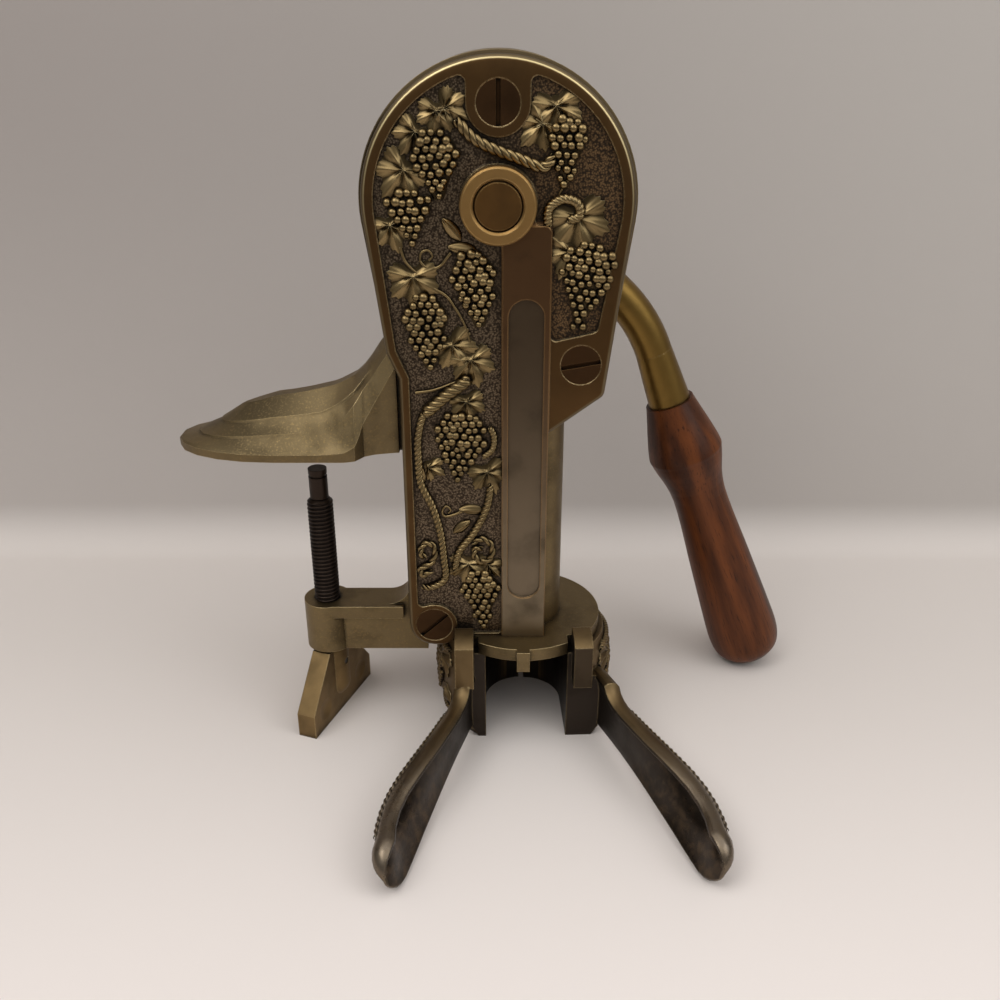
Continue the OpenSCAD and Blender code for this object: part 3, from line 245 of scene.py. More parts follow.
class NodeSheet:
    """The nodes of one material or of the world."""

    def __init__(self, owner: bpy.types.Material | bpy.types.World) -> None:
        """Start an empty sheet.

        Args:
            owner: New material or world that it is in.
        """
        owner.use_nodes = True
        self.owner = owner
        self.tree = owner.node_tree
        self.tree.nodes.clear()

    def node(self, kind: str, settings: dict[str, Any] | None = None,
             inputs: dict[str | int, Any] | None = None, out: str | int = 0) -> Wire:
        """Add a node.

        Args:
            kind: Type of the node.
            settings: Its settings.
            inputs: Values or wires by the name or number of their socket.
            out: Name or number of the output.

        Returns:
            The output.
        """
        made = self.tree.nodes.new(kind)
        for key, value in (settings or {}).items():
            setattr(made, key, value)
        for key, value in (inputs or {}).items():
            socket = made.inputs[key]
            if isinstance(value, Wire):
                self.tree.links.new(value.socket, socket)
            elif isinstance(value, tuple) and len(value) == 3 and socket.type == "RGBA":
                socket.default_value = (*value, 1.0)
            else:
                socket.default_value = value
        return Wire(self, made.outputs[out])

    def mix(self, share: Any, first: Any, second: Any) -> Wire:
        """Blend of two colours, by the share of the second."""
        return self.node("ShaderNodeMix", {"data_type": "RGBA", "clamp_factor": True},
                         {0: share, 6: first, 7: second}, 2)

    def place(self) -> Wire:
        """Place on the object, in metres."""
        return self.node("ShaderNodeTexCoord", out="Object")

    def axes(self, vector: Wire) -> tuple[Wire, Wire, Wire]:
        """Split a vector into its three parts."""
        split = self.node("ShaderNodeSeparateXYZ", None, {0: vector}).socket.node
        return tuple(Wire(self, socket) for socket in split.outputs)

    def facing(self) -> tuple[Wire, Wire, Wire]:
        """Direction of the face, as three parts."""
        return self.axes(self.node("ShaderNodeNewGeometry", out="True Normal"))

    def shaded(self) -> Wire:
        """Direction of the surface as it is shaded."""
        return self.node("ShaderNodeNewGeometry", out="Normal")

    def stretch(self, vector: Wire, factors: Rgb) -> Wire:
        """Scale a vector by one factor for each axis."""
        return self.node("ShaderNodeVectorMath", {"operation": "MULTIPLY"}, {0: vector, 1: factors})

    def cloud(self, vector: Wire, scale: float, detail: float = 3.0) -> Wire:
        """Soft noise from 0 to 1, with its lumps in each metre and levels of finer noise."""
        return self.node("ShaderNodeTexNoise", None, {"Vector": vector, "Scale": scale, "Detail": detail})

    def openness(self, reach: float) -> Wire:
        """How open a place is within a reach in millimetres, from 0 in hollows to 1."""
        return self.node("ShaderNodeAmbientOcclusion", {"samples": 6}, {"Distance": reach * MM}, "AO")

    def soft_normal(self, radius: float) -> Wire:
        """Normal with the edges rounded by a radius in millimetres."""
        return self.node("ShaderNodeBevel", {"samples": 4}, {"Radius": radius * MM})

    def edge(self, normal: Wire) -> Wire:
        """Closeness to a worn edge, from 0 on flat faces, by a normal with rounded edges."""
        same = self.node("ShaderNodeVectorMath", {"operation": "DOT_PRODUCT"},
                         {0: normal, 1: self.shaded()}, "Value")
        return (1 - same).step(0.004, 0.16)

    def bump(self, height: Wire, depth: float, strength: float, normal: Wire | None = None) -> Wire:
        """Raise a surface by a height.

        Args:
            height: Height from 0 to 1.
            depth: Depth of the whole height, in millimetres.
            strength: Share of the effect.
            normal: Normal to start from.

        Returns:
            The new normal.
        """
        inputs: dict[str | int, Any] = {"Height": height, "Distance": depth * MM, "Strength": strength}
        if normal is not None:
            inputs["Normal"] = normal
        return self.node("ShaderNodeBump", None, inputs)

    def principled(self, **sockets: Any) -> Wire:
        """Principled shader from its sockets, with _ for the spaces in their names."""
        return self.node("ShaderNodeBsdfPrincipled", None,
                         {key.replace("_", " "): value for key, value in sockets.items()})

    def close(self, shader: Wire, end: str = "ShaderNodeOutputMaterial") -> bpy.types.Material:
        """Join a shader to an output node.

        Args:
            shader: The shader.
            end: Type of the output node.

        Returns:
            The finished material or world.
        """
        made = self.tree.nodes.new(end)
        self.tree.links.new(shader.socket, made.inputs["Surface"])
        return self.owner


@dataclass(frozen=True)
class Finish(ABC):
    """A named finish whose material is made once. Its places are in metres, in the frame of the solids."""

    name: str

    @abstractmethod
    def shade(self, sheet: NodeSheet) -> Wire:
        """Shader of the finish on an empty sheet."""

    def material(self) -> bpy.types.Material:
        """Make the material on first use.

        Returns:
            The material.
        """
        if self.name not in MADE:
            sheet = NodeSheet(bpy.data.materials.new(self.name))
            MADE[self.name] = sheet.close(self.shade(sheet))
        return MADE[self.name]


@dataclass(frozen=True)
class Surface:
    """A place on a metal, on its sheet: how near an edge it is, how open, and a slow noise there."""

    sheet: NodeSheet
    place: Wire
    edge: Wire
    open_: Wire
    blotch: Wire


@dataclass(frozen=True)
class AgedMetal(Finish):
    """Old metal with dark patina in its hollows and bright wear on its edges."""

    bright: Rgb = paint(206, 184, 138)
    middle: Rgb = paint(110, 95, 69)
    dark: Rgb = paint(38, 32, 25)
    rough: float = 0.45
    edge_r: float = 0.9
    hollow: float = 4.0
    patina: float = 0.4
    wear: float = 0.75
    grain: float = 0.25

    def colour(self, at: Surface) -> Wire:
        """Stain the hollows and brighten the edges.

        Args:
            at: Place on the metal.

        Returns:
            The colour.
        """
        stain = (1 - at.open_.step(0.25, 0.95)) + at.blotch.step(0.45, 0.75) * self.patina
        aged = at.sheet.mix(stain, self.middle, self.dark)
        speck = at.sheet.cloud(at.place, 1100.0, 2.0).step(0.35, 0.62) * 0.6 + 0.4
        return at.sheet.mix(at.edge * speck * self.wear * at.open_.step(0.3, 0.8), aged, self.bright)

    def relief(self, at: Surface) -> Wire:
        """Height of the cast skin."""
        return at.sheet.cloud(at.place, 900.0, 4.0)

    def polish(self, at: Surface, rough: Wire) -> Wire:
        """Roughness where hands have polished the metal."""
        return rough

    def shade(self, sheet: NodeSheet) -> Wire:
        """Make metal with worn edges and stained hollows.

        Args:
            sheet: Empty sheet.

        Returns:
            The shader.
        """
        place = sheet.place()
        normal = sheet.soft_normal(self.edge_r)
        edge = sheet.edge(normal)
        at = Surface(sheet, place, edge, sheet.openness(self.hollow), sheet.cloud(place, 70.0, 5.0))
        fine = sheet.cloud(place, 420.0, 3.0)
        rough = at.blotch * 0.22 + fine * 0.14 + (self.rough - 0.16) - edge * 0.08
        return sheet.principled(
            Base_Color=self.colour(at),
            Metallic=at.open_.step(0.1, 0.7) * 0.3 + 0.7,
            Roughness=self.polish(at, rough),
            Normal=sheet.bump(self.relief(at), 0.12, self.grain, normal),
        )


@dataclass(frozen=True)
class HousingBrass(AgedMetal):
    """The rear casting, with painted shadow lines in the corners of its steps, painted shade on its forward
    slopes and golden specks.
    """

    middle: Rgb = paint(122, 106, 77)
    speck: Rgb = paint(156, 130, 82)
    lip: Rgb = paint(130, 114, 86)
    # Painted shade on the foot's slopes that face up and forward.
    slope_shade: Rgb = paint(74, 64, 46)
    # Reach of the painted shadow lines in the step corners, in millimetres.
    step_shadow_reach: float = 1.4
    wear: float = 1.3
    foot_x: Flat = (-0.06, -0.02)
    neck_x: Flat = (-0.02, 0.025)
    throat_x: Flat = (0.03, 0.04)
    head_z: Flat = (0.05, 0.08)

    def colour(self, at: Surface) -> Wire:
        """Add specks, painted shade on the forward slopes, a pale head and painted shadow lines in the
        corners.

        Args:
            at: Place on the casting.

        Returns:
            The colour.
        """
        sheet = at.sheet
        aged = super().colour(at)
        fleck = sheet.cloud(at.place, 1300.0, 5.0).step(0.5, 0.75)
        aged = sheet.mix(fleck * 0.4, aged, self.speck)
        x, _, z = sheet.axes(at.place)
        _, front, up = sheet.axes(sheet.shaded())
        # Painted shade: the foot's slopes that face up and forward are darkened, except near their edges and
        # partly on the specks.
        shaded_slope = (0 - front).step(0.1, 0.6) * up.step(0.35, 0.75) * (1 - at.edge.step(0.05, 0.4))
        shaded_slope = shaded_slope * x.step(*self.foot_x) * (1 - x.step(*self.neck_x))
        aged = sheet.mix(shaded_slope * (1.0 - fleck * 0.5), aged, self.slope_shade)
        aged = sheet.mix(z.step(*self.head_z) * 0.85, aged, self.lip)
        # Painted shadow: dark lines in the corners of the steps, away from the throat.
        step_shadow = (1 - sheet.openness(self.step_shadow_reach).step(0.8, 0.99)) * (1 - x.step(*self.throat_x))
        return sheet.mix(step_shadow * 0.9, aged, self.dark)


@dataclass(frozen=True)
class CoverBrass(AgedMetal):
    """The front cover: brown rim with a painted highlight on its crest, and bar, round a dark stippled field.
    """

    middle: Rgb = paint(86, 64, 39)
    # Painted highlight on the rounded crest of the rim.
    crest_highlight: Rgb = paint(214, 196, 148)
    outer: Rgb = paint(108, 94, 70)
    field_left: Rgb = paint(132, 115, 94)
    field_right: Rgb = paint(134, 106, 75)
    field_pit: Rgb = paint(58, 49, 40)
    bar_top: Rgb = paint(93, 69, 47)
    bar_foot: Rgb = paint(124, 111, 91)
    bar_edge: Rgb = paint(160, 126, 84)
    recess_top: Rgb = paint(84, 71, 56)
    recess_foot: Rgb = paint(120, 107, 89)
    bar_x: float = 0.0826
    bar_half: float = 0.0089
    bar_end_z: float = 0.0875
    recess_half: float = 0.0066
    recess_end_z: float = 0.0618
    recess_y: float = -0.0181
    field_y: Flat = (-0.01735, -0.0169)
    fade_x: Flat = (0.066, 0.094)
    fade_z: Flat = (-0.065, 0.055)
    # Heights over which the painted highlight on the crest fades in.
    crest_highlight_z: Flat = (0.07, 0.13)

    def zones(self, at: Surface) -> tuple[Wire, Wire, Wire]:
        """Tell the zones of the cover apart.

        Args:
            at: Place on the cover.

        Returns:
            Masks of the field, of the bar and of the recess in the bar.
        """
        x, y, z = at.sheet.axes(at.place)
        flat = at.sheet.facing()[1] < -0.985
        side = abs(x - self.bar_x)
        on_field = flat * y.step(*self.field_y)
        on_bar = (side < self.bar_half) * (z < self.bar_end_z)
        on_recess = (side < self.recess_half) * (y > self.recess_y) * (z < self.recess_end_z) * flat
        return on_field * (1 - on_bar), on_bar, on_recess

    def stipple(self, at: Surface) -> Wire:
        """Height of the punched dots of the field."""
        cell = at.sheet.node("ShaderNodeTexVoronoi", {"feature": "SMOOTH_F1"},
                             {"Vector": at.place, "Scale": 1500.0, "Smoothness": 0.5}, "Distance")
        return 1 - cell.step(0.05, 0.75)

    def colour(self, at: Surface) -> Wire:
        """Paint the rim with a painted highlight on its crest, the bar, its recess with stains and painted
        shade, and the field.

        Args:
            at: Place on the cover.

        Returns:
            The colour.
        """
        sheet = at.sheet
        on_field, on_bar, on_recess = self.zones(at)
        x, _, z = sheet.axes(at.place)
        front = sheet.axes(sheet.shaded())[1]
        aged = super().colour(at)
        round_ = front.step(-0.97, -0.9) * (1 - front.step(-0.2, -0.02)) * at.open_.step(0.5, 0.9)
        aged = sheet.mix(round_, aged, self.outer)
        # Painted highlight: a bright line on the rim's rounded crest, towards the top.
        aged = sheet.mix(round_ * (1 - front.step(-0.9, -0.82)) * z.step(*self.crest_highlight_z), aged, self.crest_highlight)
        low = z.step(*self.fade_z)
        bar = sheet.mix(low, self.bar_foot, self.bar_top)
        bar = sheet.mix(at.blotch.step(0.5, 0.8) * 0.5, bar, self.dark)
        bar = sheet.mix(at.edge * 0.85, bar, self.bar_edge)
        aged = sheet.mix(on_bar, aged, bar)
        recess = sheet.mix(low, self.recess_foot, self.recess_top)
        # Stains and painted shade in the hollows of the bar's recess.
        stain_and_shadow = at.blotch.step(0.45, 0.8) * 0.4 + (1 - at.open_.step(0.3, 0.8)) * 0.6
        aged = sheet.mix(on_recess, aged, sheet.mix(stain_and_shadow, recess, self.dark))
        ground = sheet.mix(x.step(*self.fade_x), self.field_left, self.field_right)
        dots = sheet.mix(self.stipple(at), self.field_pit, ground)
        dots = sheet.mix((1 - at.open_.step(0.3, 0.95)) * 0.9, dots, self.dark)
        return sheet.mix(on_field, aged, dots)

    def relief(self, at: Surface) -> Wire:
        """Cast skin, with dots on the field."""
        skin = super().relief(at) * 0.25
        return skin + self.zones(at)[0] * self.stipple(at) * 1.8


@dataclass(frozen=True)
class JawBrass(AgedMetal):
    """Jaw metal: brass outside, gunmetal inside, and worn to silver at the handle's tip."""

    middle: Rgb = paint(116, 97, 68)
    side: Side = Side.LEFT
    inside: Rgb = paint(60, 53, 47)
    rust: Rgb = paint(96, 80, 62)
    silver: Rgb = paint(110, 100, 88)
    bare_ear: float = 0.0
    ear_y: Flat = (-0.036, -0.0245)
    tip_ahead: Flat = (0.036, 0.090)
    rust_ahead: Flat = (0.03, 0.08)

    def tip(self, at: Surface) -> Wire:
        """How far towards the handle's tip a place is, from 0 to 1."""
        return (0 - at.sheet.axes(at.place)[1]).step(*self.tip_ahead)

    def colour(self, at: Surface) -> Wire:
        """Grade the metal from the grey throat to the silver tip.

        Args:
            at: Place on the jaw.

        Returns:
            The colour.
        """
        sheet = at.sheet
        aged = super().colour(at)
        y = sheet.axes(at.place)[1]
        across, front, _ = sheet.facing()
        fine = sheet.cloud(at.place, 260.0, 4.0)
        aged = sheet.mix(self.tip(at) * (fine * 0.7 + 0.5), aged, self.silver)
        inward = (across * -self.side.value).step(0.35, 0.7)
        ear_from, ear_to = self.ear_y
        ear = (y < ear_to) * (y > ear_from)
        plate = (front < -0.9) * ((y > ear_to) + ear * self.bare_ear)
        grey = sheet.mix(at.blotch.step(0.4, 0.7) * 0.5, self.inside, self.dark)
        grey = sheet.mix(fine.step(0.4, 0.75) * (0 - y).step(*self.rust_ahead) * 0.55, grey, self.rust)
        bare = inward.calc("MAXIMUM", inward, plate)
        return sheet.mix(bare * (1 - at.edge * 0.5), aged, grey)

    def polish(self, at: Surface, rough: Wire) -> Wire:
        """Smoother towards the tip."""
        return rough - self.tip(at) * 0.2


@dataclass(frozen=True)
class ReliefBrass(AgedMetal):
    """Relief on the cover: polished tops over a dark ground."""

    bright: Rgb = paint(222, 204, 158)
    middle: Rgb = paint(132, 113, 78)
    dark: Rgb = paint(26, 21, 16)
    rough: float = 0.27
    edge_r: float = 0.2
    hollow: float = 2.4
    patina: float = 0.3
    grain: float = 0.1
    ground_y: Flat = (-0.0176, -0.0167)

    def colour(self, at: Surface) -> Wire:
        """Dark near the field and bright on top."""
        low = at.sheet.axes(at.place)[1].step(*self.ground_y)
        return at.sheet.mix(low * 0.85, super().colour(at), self.dark)


LEFT_JAW = JawBrass("left_jaw_cast", side=Side.LEFT)
RIGHT_JAW = JawBrass("right_jaw_cast", side=Side.RIGHT, bare_ear=0.8)
DARK_BRONZE = AgedMetal("screw_bronze", bright=paint(128, 98, 62), middle=paint(70, 50, 32),
                        dark=paint(22, 16, 11), edge_r=0.35, hollow=1.2, rough=0.44, wear=0.5)
BLACK_STEEL = AgedMetal("blackened_steel", bright=paint(84, 68, 54), middle=paint(56, 47, 41),
                        dark=paint(14, 11, 10), edge_r=0.25, hollow=1.6, rough=0.42, wear=0.45)
OILED_STEEL = AgedMetal("oiled_steel", bright=paint(190, 190, 190), middle=paint(132, 132, 134),
                        dark=paint(56, 54, 52), edge_r=0.3)


@dataclass(frozen=True)
class Walnut(Finish):
    """Oiled walnut of the grip, with the grain along its axis."""

    axis_turn: float = 20.5
    pale: Rgb = paint(108, 58, 25)
    deep: Rgb = paint(60, 29, 11)
    streak: Rgb = paint(26, 12, 5)

    def shade(self, sheet: NodeSheet) -> Wire:
        """Make wood with long figure and dark pores.

        Args:
            sheet: Empty sheet.

        Returns:
            The shader.
        """
        turned = sheet.node("ShaderNodeVectorRotate", {"rotation_type": "Y_AXIS"},
                            {"Vector": sheet.place(), "Angle": math.radians(self.axis_turn)})
        long = sheet.stretch(turned, (1.0, 1.0, 0.06))
        figure = sheet.cloud(long, 150.0, 6.0)
        pores = sheet.cloud(long, 1700.0, 3.0)
        broad = sheet.cloud(sheet.stretch(turned, (1.0, 1.0, 0.25)), 32.0, 3.0)
        wood = sheet.mix(figure.step(0.32, 0.72), self.deep, self.pale)
        wood = sheet.mix(broad.step(0.35, 0.8) * 0.6, wood, self.deep)
        wood = sheet.mix(pores.step(0.56, 0.72) * 0.7, wood, self.streak)
        # Darker in the hollows, in the colour of the pores.
        wood = sheet.mix((1 - sheet.openness(4.0).step(0.4, 0.9)) * 0.8, wood, self.streak)
        return sheet.principled(
            Base_Color=wood,
            Roughness=pores * 0.18 + broad * 0.12 + 0.28,
            Normal=sheet.bump(pores, 0.1, 0.25),
            Specular_IOR_Level=0.18,
            Coat_Weight=0.08,
            Coat_Roughness=0.22,
        )


@dataclass(frozen=True)
class Backdrop(Finish):
    """Pale floor that sweeps up into a wall, seen from its front only; painted light and shade make the floor
    darker towards the back and far in front, and the wall a shaded grey, lighter at its foot.
    """

    # The floor's painted light: brightest at the front, darker towards the back.
    front: Rgb = paint(236, 228, 224)
    back: Rgb = paint(214, 207, 202)
    # Painted shade on the floor far in front.
    shaded_far_floor: Rgb = paint(150, 144, 140)
    # The wall is the paper in painted shade, darker to the left, with painted light at its foot.
    shaded_wall_left: Rgb = paint(162, 155, 151)
    shaded_wall_right: Rgb = paint(184, 179, 174)
    lit_wall_foot: Rgb = paint(192, 186, 182)

    def shade(self, sheet: NodeSheet) -> Wire:
        """Make matt paper with painted light and shade, clear from behind.

        Args:
            sheet: Empty sheet.

        Returns:
            The shader.
        """
        place = sheet.place()
        x, y, height = sheet.axes(place)
        cloud = sheet.cloud(place, 4.0, 2.0)
        # Painted shade on the wall, darker to the left, and painted light towards its foot, less on the
        # right.
        wall = sheet.mix(x.step(-0.25, 0.45), self.shaded_wall_left, self.shaded_wall_right)
        wall = sheet.mix((0.16 - height).step(0.0, 0.3) * (1 - x.step(0.0, 0.3) * 0.6), wall, self.lit_wall_foot)
        # Painted light on the floor: darker towards the back, and painted shade far in front.
        floor = sheet.mix(y.step(-0.22, 0.06), self.front, self.back)
        floor = sheet.mix((0 - y).step(0.24, 0.42), floor, self.shaded_far_floor)
        tone = sheet.mix((height + cloud * 0.004).step(-0.128, -0.1), floor, wall)
        paper = sheet.principled(Base_Color=tone, Roughness=0.9, Specular_IOR_Level=0.1)
        clear = sheet.node("ShaderNodeBsdfTransparent")
        behind = sheet.node("ShaderNodeNewGeometry", out="Backfacing")
        return sheet.node("ShaderNodeMixShader", None, {0: behind, 1: paper, 2: clear})


@dataclass
class Form:
    """Points and faces of a mesh, in millimetres from the worm axis and the standing surface."""

    points: list[Vector] = field(default_factory=list)
    faces: list[tuple[int, ...]] = field(default_factory=list)

    def skin(self, rows: Sequence[Sequence[Vector]]) -> None:
        """Add a skin over closed rings, closed at both ends.

        Args:
            rows: Rings with the same number of points.
        """
        start = len(self.points)
        count = len(rows[0])
        for row in rows:
            self.points.extend(row)
        for i in range(len(rows) - 1):
            for k in range(count):
                a = start + i * count + k
                b = start + i * count + (k + 1) % count
                self.faces.append((a, b, b + count, a + count))
        self.faces.append(tuple(start + k for k in reversed(range(count))))
        last = start + (len(rows) - 1) * count
        self.faces.append(tuple(last + k for k in range(count)))

    def tube(self, path: Sequence[Vector], outs: Sequence[Vector], radius: Callable[[float], float],
             sides: int = 8) -> None:
        """Add a round tube along a path.

        Args:
            path: Points of its axis.
            outs: Direction off the ground at each point.
            radius: Radius by the share of the way along it.
            sides: Sides of its section.
        """
        rows = []
        for i, (point, out) in enumerate(zip(path, outs)):
            run = (path[min(i + 1, len(path) - 1)] - path[max(i - 1, 0)]).normalized()
            across = run.cross(out).normalized()
            lift = across.cross(run)
            size = radius(i / (len(path) - 1))
            rows.append([point + size * (math.cos(a) * across + math.sin(a) * lift) for a in circle(sides)])
        self.skin(rows)

    def ball(self, centre: Vector, radius: float, rings: int = 8, sides: int = 14) -> None:
        """Add a ball whose poles point at the viewer.

        Args:
            centre: Its centre.
            radius: Its radius.
            rings: Rings between the poles.
            sides: Sides of each ring.
        """
        pole = 0.03
        rows = []
        for i in range(rings + 2):
            tilt = math.pi * min(max(i / (rings + 1), pole), 1 - pole)
            rows.append([centre + radius * Vector((math.sin(tilt) * math.cos(a), -math.cos(tilt),
                                                   math.sin(tilt) * math.sin(a))) for a in circle(sides)])
        self.skin(rows)

    def piece(self, name: str, finish: Finish, mover: Mover) -> bpy.types.Object:
        """Make the mesh an object of the scene that rides on a body.

        Args:
            name: Name of the piece.
            finish: Its finish.
            mover: Body that it rides on.

        Returns:
            The object.
        """
        mesh = bpy.data.meshes.new(name)
        mesh.from_pydata([(p + SHIFT) * MM for p in self.points], [], self.faces)
        mesh.validate()
        work = bmesh.new()
        work.from_mesh(mesh)
        bmesh.ops.recalc_face_normals(work, faces=work.faces)
        work.to_mesh(mesh)
        work.free()
        mesh.polygons.foreach_set("use_smooth", [True] * len(mesh.polygons))
        mesh.set_sharp_from_angle(angle=CREASE)
        mesh.materials.append(finish.material())
        made = add_object(name, mesh)
        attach(made, mover.value)
        LOG.info("%s: %d points, %d faces", name, len(mesh.vertices), len(mesh.polygons))
        return made


class Ground(ABC):
    """A surface that carving stands on, with places across it (u), up it (v) and off it (h)."""

    @abstractmethod
    def at(self, u: float, v: float, h: float) -> Vector:
        """Place in space of a place on the ground."""

    def out(self, u: float, v: float) -> Vector:
        """Direction off the ground."""
        return (self.at(u, v, 1.0) - self.at(u, v, 0.0)).normalized()


@dataclass(frozen=True)
class FrontField(Ground):
    """The sunk field of the front cover: u is x and v is z."""

    level: float = -20.6

    def at(self, u: float, v: float, h: float) -> Vector:
        """Place in front of the field."""
        return Vector((u, self.level - h, v))


@dataclass(frozen=True)
class JawGround(Ground):
    """A surface of one jaw, given on the right side before the jaw is opened about its pin."""

    side: Side
    opened: float
    pin: Flat = (8.0, 24.0)

    def turn(self, place: Vector) -> Vector:
        """Open the jaw, and mirror it on the left side.

        Args:
            place: Place on the closed right jaw.

        Returns:
            The same place on this jaw.
        """
        pin = Vector((*self.pin, 0.0))
        moved = pin + Matrix.Rotation(math.radians(self.opened), 3, "Z") @ (place - pin)
        return Vector((moved.x * self.side.value, moved.y, moved.z))


@dataclass(frozen=True)
class CupWall(JawGround):
    """Outside of a jaw's cup: u runs round it from its side to the back, and v is the height."""

    radius: float = 35.5
    foot_h: float = 11.0
    foot_in: float = 3.0
    top_from: float = 31.8
    top_h: float = 10.0
    top_in: float = 1.5

    def at(self, u: float, v: float, h: float) -> Vector:
        """Find a place off the cup's wall.

        Args:
            u: Distance round it.
            v: Height.
            h: Distance off it.

        Returns:
            The place in space.
        """
        reach = self.radius - self.foot_in * max(0.0, 1 - v / self.foot_h)
        reach += h - self.top_in * max(0.0, (v - self.top_from) / self.top_h)
        angle = u / self.radius
        return self.turn(Vector((reach * math.cos(angle), reach * math.sin(angle), v)))


@dataclass(frozen=True)
class HandleBack(JawGround):
    """Outside of a jaw's handle: u is the distance in front of the worm axis, v the depth below its top."""

    root_x: float = 21.8
    flare: float = 0.288
    root_at: float = 27.0
    width: tuple[Flat, ...] = ((37, 6.2), (47, 7.0), (56, 8.0), (64, 9.3), (72, 10.6), (80, 12.2), (88, 13.3),
                               (95, 13.4), (101, 12.7), (107, 11.4))
    height: tuple[Flat, ...] = ((37, 28.0), (42, 26.0), (47, 25.6), (56, 25.6), (64, 25.2), (72, 24.8),
                                (80, 23.8), (88, 22.3), (95, 20.8), (101, 19.5), (107, 18.6))

    def at(self, u: float, v: float, h: float) -> Vector:
        """Find a place off the handle's outer face.

        Args:
            u: Distance in front of the worm axis.
            v: Depth below the handle's top.
            h: Distance off the face.

        Returns:
            The place in space.
        """
        wide = between(self.width, u)
        face = ((1.0, wide - 1.75), (2.6, wide - 0.5), (5.0, wide), (10.7, 0.62 * wide), (16.0, 4.2))
        away = between(face, v) + h
        out = Vector((1.0, self.flare)).normalized()
        base_x = self.root_x + self.flare * (u - self.root_at)
        return self.turn(Vector((base_x + away * out.x, away * out.y - u, between(self.height, u) - v)))


@dataclass(frozen=True)
class Cluster:
    """A bunch of grapes: its top, its tip, its width and how far it is heaped."""

    top: Flat
    tip: Flat
    width: float
    berry: float = 1.6
    heap: float = 0.9

    def axes(self) -> tuple[Vector, Vector, Vector]:
        """Its top, the way down to its tip, and the direction across."""
        run = Vector(self.tip) - Vector(self.top)
        return Vector(self.top), run, Vector((-run.y, run.x)).normalized()

    def half(self, share: float) -> float:
        """Half width by the share of the way down."""
        return 0.5 * self.width * min(1.0, 0.6 + 2.2 * share, 0.16 + 1.25 * (1 - share))


@dataclass(frozen=True)
class Leaf:
    """A vine leaf: its middle, its size, the turn of its point from downwards, and its lobes."""

    at: Flat
    size: float
    turn: float
    lobes: int = 5
    lift: float = 1.7


@dataclass(frozen=True)
class Rope:
    """A twisted stem along a path."""

    path: tuple[Flat, ...]
    size: float = 1.5
    pitch: float = 6.0
    strands: int = 3


